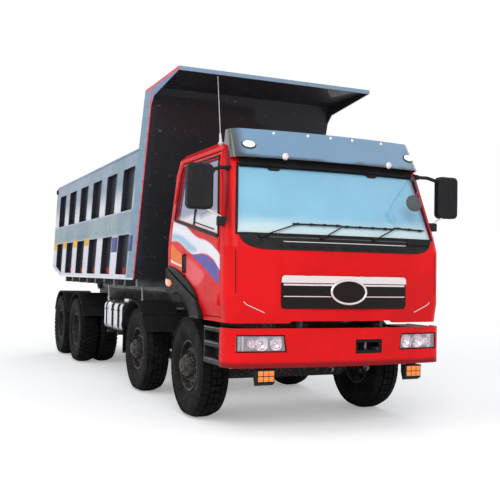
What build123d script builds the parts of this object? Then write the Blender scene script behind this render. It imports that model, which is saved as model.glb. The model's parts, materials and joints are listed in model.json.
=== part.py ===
"""A four-axle tipping truck: cab over engine, twin-steer front axles, a driven tandem and a rear-tipping body.

Millimetres. +X is the truck's left, +Y runs rearwards and +Z is up.
The origin is on the ground under the middle of the truck's length.
"""

from build123d import *

import os
from math import atan2, cos, degrees, hypot, radians, sin

os.makedirs("parts", exist_ok=True)

# Axles, each spacing measured back from the one before, the first from the bumper's face
front_overhang = 1330
twin_steer_spacing = 1950
middle_spacing = 3560
tandem_spacing = 1350

# Cab, with setbacks measured back from the bumper's face
cab_rear = 1880
cab_wall = 50
cab_bottom = 1060
cab_roof = 2860
cab_floor_top = 1250
cab_floor_thickness = 60
cab_bow = 75
cab_corner = 130
body_gap = 1330

# Tipping body
body_length = 5830
body_width = 2470
side_wall = 78
side_skin = 8
side_top = 3080
post_top = 3800
post_depth = 330
front_rake = 0.285
rib_rake = 0.25
tail_rake = 0.22

# Chassis
frame_width = 860
rail_height = 300
rail_flange = 80
rail_thickness = 10
frame_top = 1060
frame_start = 330
frame_tail_gap = 270

# Wheels and tyres
tyre_radius = 540
tyre_width = 290
rim_radius = 262
front_track = 2060
twin_track = 1850
twin_gap = 330
kingpin_inset = 100

# Clearances
panel_gap = 6
moving_gap = 6
seat_gap = 0.5

body_start = cab_rear + body_gap
overall_length = body_start + body_length
front_y = -overall_length / 2
hub_z = tyre_radius
axle_setbacks = [front_overhang]
for spacing in (twin_steer_spacing, middle_spacing, tandem_spacing):
    axle_setbacks.append(axle_setbacks[-1] + spacing)
axle_1, axle_2, axle_3, axle_4 = (front_y + setback for setback in axle_setbacks)
rail_middle_z = frame_top - rail_height / 2
frame_front = front_y + frame_start
frame_rear = front_y + overall_length - frame_tail_gap
web_face = frame_width / 2


def back(setback):
    """The Y of a point that far behind the bumper's face."""
    return front_y + setback


def across(y):
    """A plane square to the truck's length at that Y, drawn in X and Z; a negative extrusion runs rearwards."""
    return Plane.XZ.offset(-y)


def outboard(x, y, z, side):
    """A plane through an axle's line, drawn outwards along the axle and upwards."""
    return Plane(origin=(x, y, z), x_dir=(side, 0, 0), z_dir=(0, -side, 0))


# Ladder frame: two channels facing inwards, channel crossmembers, spring hangers and cab pivot arms
cross_height = 120
cross_flange = 90
cross_thickness = 8
cross_z = frame_top - 70
hanger_width = 70
hanger_drop = 110
spring_half_length = 700
pivot_setback = 120
pivot_z = 1040
pivot_radius = 28
pivot_arm_width = 50
cross_setbacks = [
    frame_start + 60,
    front_overhang + 1330,
    front_overhang + twin_steer_spacing + 900,
    front_overhang + twin_steer_spacing + 1900,
    axle_setbacks[2] - 420,
    axle_setbacks[3] + 340,
]
tank_start = 4030
tank_length = 1000
tank_bottom = 680
tank_top = 1100
tank_outer = 1165
tank_inner = 560
strap_width = 60
strap_inset = 210
shelf_height = 40
trunnion_z = 655
trunnion_y = (axle_3 + axle_4) / 2
trunnion_radius = 55
spring_line = 480

with BuildPart() as chassis_frame:
    with BuildSketch(across(frame_front)):
        for side in (-1, 1):
            with Locations((side * (web_face - rail_flange / 2), rail_middle_z)):
                Rectangle(rail_flange, rail_height)
            with Locations((side * (web_face - rail_thickness - rail_flange / 2), rail_middle_z)):
                Rectangle(rail_flange, rail_height - 2 * rail_thickness, mode=Mode.SUBTRACT)
    extrude(amount=-(frame_rear - frame_front))
    for setback in cross_setbacks:
        with BuildSketch(Plane.YZ.offset(-(web_face - rail_thickness))):
            with Locations((back(setback), cross_z)):
                Rectangle(cross_flange, cross_height)
            with Locations((back(setback) + cross_thickness, cross_z)):
                Rectangle(cross_flange, cross_height - 2 * cross_thickness, mode=Mode.SUBTRACT)
        extrude(amount=frame_width - 2 * rail_thickness)
    # Spring hangers under the rails, ahead of and behind both steered axles
    for axle in (axle_1, axle_2):
        for end in (-1, 1):
            hanger_y = axle + end * spring_half_length
            for side in (-1, 1):
                with BuildSketch(Plane.YZ.offset(side * (web_face - hanger_width / 2) - hanger_width / 2)):
                    with BuildLine():
                        Polyline(
                            (hanger_y - 90, frame_top - rail_height),
                            (hanger_y + 90, frame_top - rail_height),
                            (hanger_y + 40, frame_top - rail_height - hanger_drop),
                            (hanger_y - 40, frame_top - rail_height - hanger_drop),
                            close=True,
                        )
                    make_face()
                extrude(amount=hanger_width)
    # Trunnion brackets and cross shaft that carry the tandem's springs
    for side in (-1, 1):
        with BuildSketch(Plane.YZ.offset(side * (web_face - 30) - 30)):
            with BuildLine():
                Polyline(
                    (trunnion_y - 240, frame_top - rail_height),
                    (trunnion_y + 240, frame_top - rail_height),
                    (trunnion_y + 80, trunnion_z - 80),
                    (trunnion_y - 80, trunnion_z - 80),
                    close=True,
                )
            make_face()
        extrude(amount=60)
    with BuildSketch(Plane.YZ.offset(-spring_line - 60)):
        with Locations((trunnion_y, trunnion_z)):
            Circle(trunnion_radius)
    extrude(amount=2 * (spring_line + 60))
    # Arms that reach forward to the cab's tilt pivots, with a bored eye at the end
    for side in (-1, 1):
        with BuildSketch(Plane.YZ.offset(side * (web_face - pivot_arm_width / 2) - pivot_arm_width / 2)):
            with BuildLine():
                Polyline(
                    (frame_front, frame_top - rail_height + 60),
                    (frame_front, frame_top),
                    (back(pivot_setback), pivot_z + pivot_radius),
                    (back(pivot_setback), pivot_z - pivot_radius),
                    close=True,
                )
            make_face()
            with Locations((back(pivot_setback), pivot_z)):
                Circle(pivot_radius)
        extrude(amount=pivot_arm_width)
    with BuildSketch(Plane.YZ.offset(-web_face)):
        with Locations((back(pivot_setback), pivot_z)):
            Circle(pivot_radius / 2 + 0.5)
    extrude(amount=frame_width, mode=Mode.SUBTRACT)
    # Shelves that carry the fuel tank on the right and the air reservoirs on the left
    for side in (-1, 1):
        for strap in (tank_start + strap_inset, tank_start + tank_length - strap_inset):
            with Locations((side * (web_face + tank_outer) / 2, back(strap), tank_bottom - shelf_height / 2)):
                Box(tank_outer - web_face, strap_width, shelf_height)
            with Locations((side * (web_face + 20), back(strap), (tank_bottom + frame_top - 60) / 2)):
                Box(40, strap_width, frame_top - 60 - tank_bottom + 2 * shelf_height)

# Engine with its gearbox: a heavy mass under the cab, as one plain form
engine_front = 620
engine_rear = 1780
gearbox_rear = 2240
engine_half_width = 320
engine_bottom = 630
engine_top = 1150

with BuildPart() as engine:
    with BuildSketch(across(back(engine_front))):
        with Locations((0, (engine_bottom + engine_top) / 2)):
            Rectangle(2 * engine_half_width, engine_top - engine_bottom)
    extrude(amount=-(engine_rear - engine_front))
    chamfer(engine.edges().filter_by(Axis.Y).group_by(Axis.Z)[0], length=90)
    gearbox_middle = (engine_bottom + engine_top) / 2 - 40
    for setback, width, height in ((engine_rear, 520, 440), (gearbox_rear, 300, 280)):
        with BuildSketch(across(back(setback))):
            with Locations((0, gearbox_middle)):
                Rectangle(width, height)
    loft(ruled=True)

# Bumper: a bowed shell with rounded ends, open for the lamps and the towing pin
bumper_width = 2430
bumper_bottom = 645
bumper_top = 1015
bumper_wall = 25
bumper_corner = 170
bumper_return = 290
lamp_inner = 630
lamp_slant = 25
lamp_outer = 1130
lamp_groove_x = 1040
lamp_groove = 12
lamp_bottom = 790
lamp_top = 955
tow_x = 260
tow_width = 310
tow_bottom = 765
tow_height = 138
jaw_depth = 150
jaw_wall = 30
tow_pin_radius = 16
tow_pin_setback = 80


def lamp_outline(side, margin):
    """A headlamp's front with a slanted inner end, drawn in by that margin all round; in X and Z."""
    Polyline(
        (side * (lamp_inner + margin), lamp_bottom + margin),
        (side * (lamp_outer - margin), lamp_bottom + margin),
        (side * (lamp_outer - margin), lamp_top - margin),
        (side * (lamp_inner + lamp_slant + margin), lamp_top - margin),
        close=True,
    )


def front_outline(half_width, front, corner, rear, bow=cab_bow):
    """A plan outline with a bowed front, rounded front corners and a straight rear; drawn in X and Y."""
    shoulder = front + bow
    bend = corner * (1 - cos(radians(45)))
    Line((half_width, rear), (half_width, shoulder + corner))
    ThreePointArc(
        (half_width, shoulder + corner),
        (half_width - bend, shoulder + bend),
        (half_width - corner, shoulder),
    )
    ThreePointArc((half_width - corner, shoulder), (0, front), (corner - half_width, shoulder))
    ThreePointArc(
        (corner - half_width, shoulder),
        (bend - half_width, shoulder + bend),
        (-half_width, shoulder + corner),
    )
    Line((-half_width, shoulder + corner), (-half_width, rear))
    Line((-half_width, rear), (half_width, rear))


with BuildPart() as front_bumper:
    with BuildSketch(Plane.XY.offset(bumper_bottom)):
        with BuildLine():
            front_outline(bumper_width / 2, front_y, bumper_corner, back(bumper_return))
        make_face()
    extrude(amount=bumper_top - bumper_bottom)
    with BuildSketch(Plane.XY.offset(bumper_bottom)):
        with BuildLine():
            front_outline(
                bumper_width / 2 - bumper_wall,
                front_y + bumper_wall,
                bumper_corner - bumper_wall,
                back(bumper_return) + 1,
            )
        make_face()
    extrude(amount=bumper_top - bumper_bottom, mode=Mode.SUBTRACT)
    for side in (-1, 1):
        with BuildSketch(across(front_y - 1)):
            with BuildLine():
                lamp_outline(side, 0)
            make_face()
        extrude(amount=-bumper_return, mode=Mode.SUBTRACT)
    with BuildSketch(across(front_y - 1)):
        with Locations((tow_x, tow_bottom + tow_height / 2)):
            Rectangle(tow_width, tow_height)
    extrude(amount=-bumper_return, mode=Mode.SUBTRACT)
    # Towing jaw behind its opening, with a plain upright pin
    with Locations((tow_x, front_y + bumper_wall + jaw_depth / 2, tow_bottom + tow_height / 2)):
        Box(tow_width + 2 * jaw_wall, jaw_depth, tow_height + 2 * jaw_wall)
    with Locations((tow_x, front_y + (bumper_wall + jaw_depth) / 2 - jaw_wall, tow_bottom + tow_height / 2)):
        Box(tow_width, bumper_wall + jaw_depth, tow_height - 2 * jaw_wall, mode=Mode.SUBTRACT)
    with BuildSketch(Plane.XY.offset(tow_bottom + jaw_wall / 2)):
        with Locations((tow_x, back(tow_pin_setback))):
            Circle(tow_pin_radius)
    extrude(amount=tow_height - jaw_wall)
    # Mounting arms from the shell back to the frame's front crossmember
    for side in (-1, 1):
        with Locations((side * (web_face - 40), (front_y + bumper_wall + frame_front) / 2, bumper_bottom + 130)):
            Box(60, frame_start - bumper_wall, 90)

with BuildPart() as headlamps:
    for side in (-1, 1):
        with BuildSketch(across(front_y)):
            with BuildLine():
                lamp_outline(side, panel_gap)
            make_face()
        extrude(amount=-bumper_return)
    with BuildSketch(Plane.XY.offset(lamp_bottom)):
        with BuildLine():
            front_outline(
                bumper_width / 2 - panel_gap,
                front_y + panel_gap,
                bumper_corner - panel_gap,
                back(bumper_return),
            )
        make_face()
        with BuildLine():
            front_outline(
                bumper_width / 2 - 3 * bumper_wall,
                front_y + 3 * bumper_wall,
                bumper_corner - 3 * bumper_wall,
                back(bumper_return) + 1,
            )
        make_face(mode=Mode.SUBTRACT)
    extrude(amount=lamp_top - lamp_bottom, mode=Mode.INTERSECT)
    # A groove sets the outer segment apart
    with BuildSketch(across(front_y)):
        with Locations(*((side * lamp_groove_x, (lamp_bottom + lamp_top) / 2) for side in (-1, 1))):
            Rectangle(lamp_groove, lamp_top - lamp_bottom)
    extrude(amount=-(cab_bow + lamp_groove), mode=Mode.SUBTRACT)

# Amber turn lamps that hang on brackets below the bumper
turn_x = 830
turn_width = 190
turn_height = 130
turn_depth = 90
turn_setback = 60

with BuildPart() as turn_lamps:
    for side in (-1, 1):
        with BuildSketch(Plane.YZ.offset(side * turn_x - turn_width / 2)):
            with BuildLine():
                Polyline(
                    (back(turn_setback), bumper_bottom - 15),
                    (back(turn_setback + turn_depth), bumper_bottom - 15),
                    (back(turn_setback + turn_depth), bumper_bottom - 90),
                    (back(turn_setback + turn_depth - 30), bumper_bottom - 15 - turn_height - 30),
                    (back(turn_setback), bumper_bottom - 15 - turn_height),
                    close=True,
                )
            make_face()
        extrude(amount=turn_width)
        with Locations((side * turn_x, back(turn_setback + turn_depth / 2), bumper_bottom - 7.5)):
            Box(turn_width / 2, turn_depth / 2, 15)

# Step boxes behind the bumper's ends, with two treads cut into the outer face
step_front = bumper_return + 4
step_rear = 715
step_bottom = 650
step_top = 1000
step_outer = 1210
step_inner = 900
tread_depth = 110
tread_levels = ((step_bottom + 45, 120), (step_bottom + 205, 110))

with BuildPart() as cab_steps:
    for side in (-1, 1):
        with BuildSketch(across(back(step_front))):
            with Locations((side * (step_inner + step_outer) / 2, (step_bottom + step_top) / 2)):
                Rectangle(step_outer - step_inner, step_top - step_bottom)
            for level, height in tread_levels:
                with Locations((side * (step_outer - tread_depth / 2), level + height / 2)):
                    Rectangle(tread_depth, height, mode=Mode.SUBTRACT)
        extrude(amount=-(step_rear - step_front))
        for setback in (step_front + 10, step_rear - 10):
            with Locations((side * (step_outer - tread_depth / 2), back(setback), (step_bottom + step_top) / 2)):
                Box(tread_depth, 20, step_top - step_bottom)
        with Locations((side * (step_inner + web_face) / 2, back((frame_start + step_rear) / 2), step_top - 100)):
            Box(step_inner - web_face, 80, 60)

# Dropped beam axles with a bored kingpin boss at each end
kingpin_x = front_track / 2 - kingpin_inset
kingpin_radius = 22
boss_radius = 48
boss_height = 110
beam_drop = 105
beam_depth = 90
beam_height = 95

with BuildPart() as front_axles:
    for axle in (axle_1, axle_2):
        with BuildSketch(across(axle - beam_depth / 2)):
            with BuildLine():
                Polyline(
                    (-kingpin_x, hub_z + beam_height / 2),
                    (-kingpin_x + 110, hub_z + beam_height / 2),
                    (-kingpin_x + 240, hub_z - beam_drop + beam_height / 2),
                    (kingpin_x - 240, hub_z - beam_drop + beam_height / 2),
                    (kingpin_x - 110, hub_z + beam_height / 2),
                    (kingpin_x, hub_z + beam_height / 2),
                    (kingpin_x, hub_z - beam_height / 2),
                    (kingpin_x - 110, hub_z - beam_height / 2),
                    (kingpin_x - 240, hub_z - beam_drop - beam_height / 2),
                    (240 - kingpin_x, hub_z - beam_drop - beam_height / 2),
                    (110 - kingpin_x, hub_z - beam_height / 2),
                    (-kingpin_x, hub_z - beam_height / 2),
                    close=True,
                )
            make_face()
        extrude(amount=-beam_depth)
        with BuildSketch(Plane.XY.offset(hub_z - boss_height / 2)):
            with Locations((-kingpin_x, axle), (kingpin_x, axle)):
                Circle(boss_radius)
        extrude(amount=boss_height)
        with BuildSketch(Plane.XY.offset(hub_z - boss_height / 2)):
            with Locations((-kingpin_x, axle), (kingpin_x, axle)):
                Circle(kingpin_radius + 0.5)
        extrude(amount=boss_height, mode=Mode.SUBTRACT)

# Leaf springs: each leaf is an arc, shorter than the one above it
leaf_width = 76
leaf_thickness = 20
spring_camber = 60
front_leaves = (1.0, 0.86, 0.7, 0.52)
spring_eye_z = frame_top - rail_height - hanger_drop
beam_top = hub_z - beam_drop + beam_height / 2


def leaf_outline(middle_y, top_z, half_length, camber):
    """One leaf, bowed downwards in its middle; drawn in Y and Z."""
    bottom_z = top_z - leaf_thickness
    ThreePointArc((middle_y - half_length, top_z), (middle_y, top_z - camber), (middle_y + half_length, top_z))
    Line((middle_y + half_length, top_z), (middle_y + half_length, bottom_z))
    ThreePointArc(
        (middle_y + half_length, bottom_z),
        (middle_y, bottom_z - camber),
        (middle_y - half_length, bottom_z),
    )
    Line((middle_y - half_length, bottom_z), (middle_y - half_length, top_z))


with BuildPart() as front_springs:
    for axle in (axle_1, axle_2):
        for side in (-1, 1):
            spring_x = side * (web_face - hanger_width / 2)
            for rank, share in enumerate(front_leaves):
                camber = spring_camber * share**2
                # Every leaf's middle lies on the one above, so shorter leaves start lower
                leaf_top = spring_eye_z - rank * leaf_thickness - spring_camber + camber
                with BuildSketch(Plane.YZ.offset(spring_x - leaf_width / 2)):
                    with BuildLine():
                        leaf_outline(axle, leaf_top, spring_half_length * share, camber)
                    make_face()
                extrude(amount=leaf_width)
            pack_bottom = spring_eye_z - spring_camber - len(front_leaves) * leaf_thickness
            with Locations((spring_x, axle, (pack_bottom + beam_top) / 2)):
                Box(leaf_width + 20, beam_depth, pack_bottom - beam_top)

# Driven axles: a round banjo case on a tapering tube, with a pinion nose in front
tube_radius = 68
banjo_radius = 205
# columns: distance along the axle, radius
banjo_sections = ((-115, 130), (-60, banjo_radius), (60, banjo_radius), (115, 130))
nose_length = 330
axle_half_length = 800

with BuildPart() as rear_axles:
    for axle in (axle_3, axle_4):
        with BuildSketch(Plane.YZ.offset(-axle_half_length)):
            with Locations((axle, hub_z)):
                RegularPolygon(tube_radius, 16, major_radius=False, rotation=360 / 32)
        extrude(amount=2 * axle_half_length)
        for station, radius in banjo_sections:
            with BuildSketch(Plane.YZ.offset(station)):
                with Locations((axle, hub_z)):
                    Circle(radius)
        loft(ruled=True)
        for distance, radius in ((banjo_radius - 70, 130), (nose_length, 60)):
            with BuildSketch(across(axle - distance)):
                with Locations((0, hub_z)):
                    Circle(radius)
        loft(ruled=True)

# Tandem springs that rock on the trunnion, with a torque rod to each axle
tandem_leaves = (1.0, 0.88, 0.76, 0.62, 0.46)
tandem_camber = 70
tandem_leaf = 22
spring_seat_height = 114
tandem_width = 90
rod_size = 44

with BuildPart() as tandem_suspension:
    for side in (-1, 1):
        spring_x = side * (spring_line + 22)
        for rank, share in enumerate(tandem_leaves):
            half = tandem_spacing / 2 * share + 60
            top = hub_z + tube_radius + spring_seat_height + (rank + 1) * tandem_leaf
            with BuildSketch(Plane.YZ.offset(spring_x - tandem_width / 2)):
                with BuildLine():
                    Polyline(
                        (trunnion_y - half, top - tandem_camber * 0.4 * (1 - share)),
                        (trunnion_y, top),
                        (trunnion_y + half, top - tandem_camber * 0.4 * (1 - share)),
                        (trunnion_y + half, top - tandem_leaf - tandem_camber * 0.4 * (1 - share)),
                        (trunnion_y, top - tandem_leaf),
                        (trunnion_y - half, top - tandem_leaf - tandem_camber * 0.4 * (1 - share)),
                        close=True,
                    )
                make_face()
            extrude(amount=tandem_width)
        # Saddle round the trunnion, and a seat on each axle for the spring's end
        with BuildSketch(Plane.YZ.offset(spring_x - tandem_width / 2)):
            with Locations((trunnion_y, trunnion_z + 20)):
                Rectangle(220, 2 * trunnion_radius + 90)
            with Locations((trunnion_y, trunnion_z)):
                Circle(trunnion_radius + seat_gap, mode=Mode.SUBTRACT)
        extrude(amount=tandem_width)
        for axle in (axle_3, axle_4):
            with Locations((spring_x, axle, hub_z + tube_radius + spring_seat_height / 2)):
                Box(tandem_width, 150, spring_seat_height)
            rod_end = trunnion_y + (axle - trunnion_y) * 0.18
            with BuildSketch(Plane.YZ.offset(side * (web_face - 60 - rod_size / 2) - rod_size / 2)):
                with BuildLine():
                    Polyline(
                        (rod_end, trunnion_z - 70),
                        (axle, hub_z - tube_radius - rod_size),
                        (axle, hub_z - tube_radius),
                        (rod_end, trunnion_z - 70 + rod_size),
                        close=True,
                    )
                make_face()
            extrude(amount=rod_size)
    add(rear_axles.part, mode=Mode.SUBTRACT)

# Shafts from the gearbox to the middle axle and on to the rear one
shaft_radius = 52
bearing_setback = front_overhang + twin_steer_spacing + 900

with BuildPart() as prop_shafts:
    shaft_points = (
        (back(gearbox_rear - 20), (engine_bottom + engine_top) / 2 - 40),
        (back(bearing_setback), frame_top - rail_height + 40),
        (axle_3 - nose_length, hub_z),
    )
    for start, end in zip(shaft_points, shaft_points[1:]):
        run = hypot(end[0] - start[0], end[1] - start[1])
        with BuildSketch(Plane(origin=(0, *start), x_dir=(1, 0, 0), z_dir=(0, end[0] - start[0], end[1] - start[1]))):
            RegularPolygon(shaft_radius, 12, major_radius=False)
        extrude(amount=run)
    with BuildSketch(across(axle_3 + banjo_radius - 40)):
        with Locations((0, hub_z)):
            RegularPolygon(shaft_radius - 8, 12, major_radius=False)
    extrude(amount=-(tandem_spacing - nose_length - banjo_radius + 40))
    with Locations((0, back(bearing_setback), cross_z - cross_height / 2 - 95)):
        Box(220, 60, 190)
    add(engine.part, mode=Mode.SUBTRACT)
    add(rear_axles.part, mode=Mode.SUBTRACT)

# Fuel tank on the right with its straps, the air reservoirs on the left
tank_corner = 90
strap_thickness = 6

with BuildPart() as fuel_tank:
    tank_x = -(tank_outer + tank_inner) / 2
    with BuildSketch(across(back(tank_start))):
        with Locations((tank_x, (tank_bottom + tank_top) / 2)):
            RectangleRounded(tank_outer - tank_inner, tank_top - tank_bottom, tank_corner)
    extrude(amount=-tank_length)
    with BuildSketch(Plane.XY.offset(tank_top)):
        with Locations((tank_x - 120, back(tank_start + 350))):
            Circle(55)
    extrude(amount=40)
    for strap in (tank_start + strap_inset, tank_start + tank_length - strap_inset):
        with BuildSketch(across(back(strap) - strap_width / 2)):
            with Locations((tank_x, (tank_bottom + tank_top) / 2 + strap_thickness / 2)):
                RectangleRounded(
                    tank_outer - tank_inner + 2 * strap_thickness,
                    tank_top - tank_bottom + strap_thickness,
                    tank_corner,
                )
        extrude(amount=-strap_width)

reservoir_radius = 125
reservoir_length = 900

with BuildPart() as air_reservoirs:
    for column, level in ((0, 0), (1, 0), (0.5, 1)):
        with BuildSketch(across(back(tank_start + 50))):
            with Locations((tank_inner + 140 + column * 290, tank_bottom + reservoir_radius + level * 240)):
                Circle(reservoir_radius)
        extrude(amount=-reservoir_length)
    chamfer(air_reservoirs.edges().filter_by(GeomType.CIRCLE), length=35)
    for strap in (tank_start + strap_inset, tank_start + tank_length - strap_inset):
        with Locations((tank_inner + 285, back(strap), tank_bottom + 230)):
            Box(300, 30, 180)
        with Locations((tank_inner + 285, back(strap), tank_bottom + 20)):
            Box(560, 30, 40)

# Battery box on the left, between the second axle and the reservoirs' shelf
battery_start = 5230
battery_length = 620

with BuildPart() as battery_box:
    with Locations(((web_face + 1160) / 2, back(battery_start + battery_length / 2), 880)):
        Box(1160 - web_face, battery_length, 330)
    chamfer(battery_box.edges().filter_by(Axis.Y).group_by(Axis.Z)[-1], length=40)

# Mudguards over the second axle and the tandem, on stays from the frame
guard_gap = 70
guard_thickness = 8
guard_inner = 700
guard_outer = 1225
front_guard_inner = 740
stay_radius = 17
guard_rise = 0.62

with BuildPart() as mudguards:
    for side in (-1, 1):
        for axle, inner in ((axle_2, front_guard_inner), (axle_3, guard_inner), (axle_4, guard_inner)):
            reach = tyre_radius + guard_gap
            end_y = reach * cos(radians(24))
            end_z = reach * sin(radians(24))
            outer_reach = reach + guard_thickness
            with BuildSketch(Plane.YZ.offset(side * (inner + guard_outer) / 2 - (guard_outer - inner) / 2)):
                with BuildLine():
                    ThreePointArc(
                        (axle - end_y, hub_z + end_z),
                        (axle, hub_z + reach),
                        (axle + end_y, hub_z + end_z),
                    )
                    Line(
                        (axle + end_y, hub_z + end_z),
                        (axle + end_y * outer_reach / reach, hub_z + end_z * outer_reach / reach),
                    )
                    ThreePointArc(
                        (axle + end_y * outer_reach / reach, hub_z + end_z * outer_reach / reach),
                        (axle, hub_z + outer_reach),
                        (axle - end_y * outer_reach / reach, hub_z + end_z * outer_reach / reach),
                    )
                    Line(
                        (axle - end_y * outer_reach / reach, hub_z + end_z * outer_reach / reach),
                        (axle - end_y, hub_z + end_z),
                    )
                make_face()
            extrude(amount=guard_outer - inner)
            for angle in (48, 132):
                stay_y = axle + (reach + guard_thickness) * cos(radians(angle))
                stay_z = hub_z + (reach + guard_thickness) * sin(radians(angle))
                with BuildSketch(Plane.YZ.offset(side * (web_face + guard_outer) / 2 - (guard_outer - web_face) / 2)):
                    with Locations((stay_y, min(stay_z + stay_radius, frame_top - 60))):
                        RegularPolygon(stay_radius, 8, major_radius=False)
                extrude(amount=guard_outer - web_face)

# Subframe on the rails: longitudinal bearers, the tipping hinge and the hoist's cradle
subframe_height = 170
subframe_width = 90
subframe_front = body_start + 60
hinge_setback = overall_length - 620
hinge_z = 1270
hinge_radius = 38
hinge_plate = 40
hoist_setback = 2400
hoist_base_z = 1010
hoist_pivot_radius = 38
cradle_half = 190
cradle_plate = 30
cradle_reach = 150

with BuildPart() as hoist_subframe:
    bearer_length = hinge_setback + 60 - subframe_front
    for side in (-1, 1):
        with Locations((
            side * (web_face - subframe_width / 2),
            back(subframe_front + bearer_length / 2),
            frame_top + subframe_height / 2,
        )):
            Box(subframe_width, bearer_length, subframe_height)
        with BuildSketch(Plane.YZ.offset(side * (web_face - subframe_width / 2) - subframe_width / 2)):
            with Locations((back(hinge_setback), hinge_z)):
                Circle(2 * hinge_radius)
        extrude(amount=subframe_width)
    for setback in (subframe_front + 60, subframe_front + 1500, subframe_front + 3000, hinge_setback - 400):
        with Locations((0, back(setback), frame_top + subframe_height / 2)):
            Box(frame_width - 2 * subframe_width, 70, subframe_height - 40)
    with BuildSketch(Plane.YZ.offset(-web_face - hinge_plate - 20)):
        with Locations((back(hinge_setback), hinge_z)):
            Circle(hinge_radius)
    extrude(amount=frame_width + 2 * hinge_plate + 40)

# Cradle on crossbars between the rails, with a bored eye for each of the barrel's trunnions
with BuildPart() as hoist_cradle:
    for side in (-1, 1):
        with BuildSketch(Plane.YZ.offset(side * cradle_half - cradle_plate / 2)):
            with BuildLine():
                Polyline(
                    (back(hoist_setback) - cradle_reach, frame_top - 200),
                    (back(hoist_setback) - cradle_reach, frame_top - 100),
                    (back(hoist_setback) - 70, hoist_base_z + 70),
                    (back(hoist_setback) + 70, hoist_base_z + 70),
                    (back(hoist_setback) + cradle_reach, frame_top - 100),
                    (back(hoist_setback) + cradle_reach, frame_top - 200),
                    close=True,
                )
            make_face()
            with Locations((back(hoist_setback), hoist_base_z)):
                Circle(hoist_pivot_radius + seat_gap, mode=Mode.SUBTRACT)
        extrude(amount=cradle_plate)
        for end in (-1, 1):
            bar_length = web_face - rail_thickness - cradle_half + cradle_plate / 2
            with Locations((
                side * (cradle_half - cradle_plate / 2 + bar_length / 2),
                back(hoist_setback) + end * (cradle_reach - 25),
                frame_top - 150,
            )):
                Box(bar_length, 50, 90)

# Tail lamps on a bar at the frame's end
lamp_bar_z = frame_top - rail_height - 60

with BuildPart() as rear_lamps:
    with Locations((0, frame_rear + 30, lamp_bar_z)):
        Box(2300, 60, 110)
    for side in (-1, 1):
        with Locations((side * (web_face - 40), frame_rear + 15, lamp_bar_z + 120)):
            Box(70, 30, 140)
    for side in (-1, 1):
        for place in (1020, 860, 700):
            with BuildSketch(across(frame_rear + 60)):
                with Locations((side * place, lamp_bar_z)):
                    RectangleRounded(130, 84, 18)
            extrude(amount=-34)

# Hoist: its base, its top eye and the tipping hinge make a triangle with two equal sides,
# so that the barrel always leans by half the angle of the body
eye_setback = 2620
stage_count = 3
barrel_radius = 118
stage_step = 19
tube_wall = 12
barrel_tail = 60
barrel_top = 1650
stage_rise = 33
eye_radius = 46
eye_plate = 60
hinge_to_base = hypot(hinge_setback - hoist_setback, hinge_z - hoist_base_z)
eye_z = hinge_z + (hinge_to_base**2 - (hinge_setback - eye_setback) ** 2) ** 0.5
hoist_length = hypot(eye_setback - hoist_setback, eye_z - hoist_base_z)
hoist_plane = Plane(
    origin=(0, back(hoist_setback), hoist_base_z),
    x_dir=(1, 0, 0),
    z_dir=(0, eye_setback - hoist_setback, eye_z - hoist_base_z),
)

with BuildPart() as hoist_barrel:
    with BuildSketch(hoist_plane.offset(-barrel_tail)):
        Circle(barrel_radius)
    extrude(amount=barrel_tail + barrel_top)
    with BuildSketch(Plane.YZ.offset(-(cradle_half + cradle_plate / 2))):
        with Locations((back(hoist_setback), hoist_base_z)):
            Circle(hoist_pivot_radius)
    extrude(amount=2 * cradle_half + cradle_plate)
    with BuildSketch(hoist_plane.offset(tube_wall - barrel_tail)):
        Circle(barrel_radius - tube_wall)
    extrude(amount=barrel_tail + barrel_top, mode=Mode.SUBTRACT)

hoist_stages = []
for stage in range(stage_count):
    stage_radius = barrel_radius - tube_wall - moving_gap - stage * stage_step
    stage_bottom = tube_wall - barrel_tail + (stage + 1) * moving_gap
    stage_top = barrel_top + (stage + 1) * stage_rise
    with BuildPart() as hoist_stage:
        with BuildSketch(hoist_plane.offset(stage_bottom)):
            Circle(stage_radius)
        extrude(amount=stage_top - stage_bottom)
        if stage < stage_count - 1:
            with BuildSketch(hoist_plane.offset(stage_bottom - 1)):
                Circle(stage_radius - stage_step + moving_gap)
            extrude(amount=stage_top - stage_bottom + 2, mode=Mode.SUBTRACT)
        else:
            with BuildSketch(Plane(hoist_plane.origin, x_dir=hoist_plane.z_dir, z_dir=(1, 0, 0)).offset(-eye_plate / 2)):
                with Locations(((stage_top + hoist_length) / 2, 0)):
                    Rectangle(hoist_length - stage_top, 2 * eye_radius)
                with Locations((hoist_length, 0)):
                    Circle(eye_radius)
                    Circle(eye_radius / 2, mode=Mode.SUBTRACT)
            extrude(amount=eye_plate)
    hoist_stages.append(hoist_stage.part)

# Steered hubs: a fork round the axle's boss, the kingpin, a stub for the wheel and a steering arm
fork_gap = 6
fork_plate = 34
fork_back = 46
fork_face = 92
fork_width = 100
stub_radius = 42
stub_tip = 215
arm_length = 190
arm_height = 30

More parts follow.
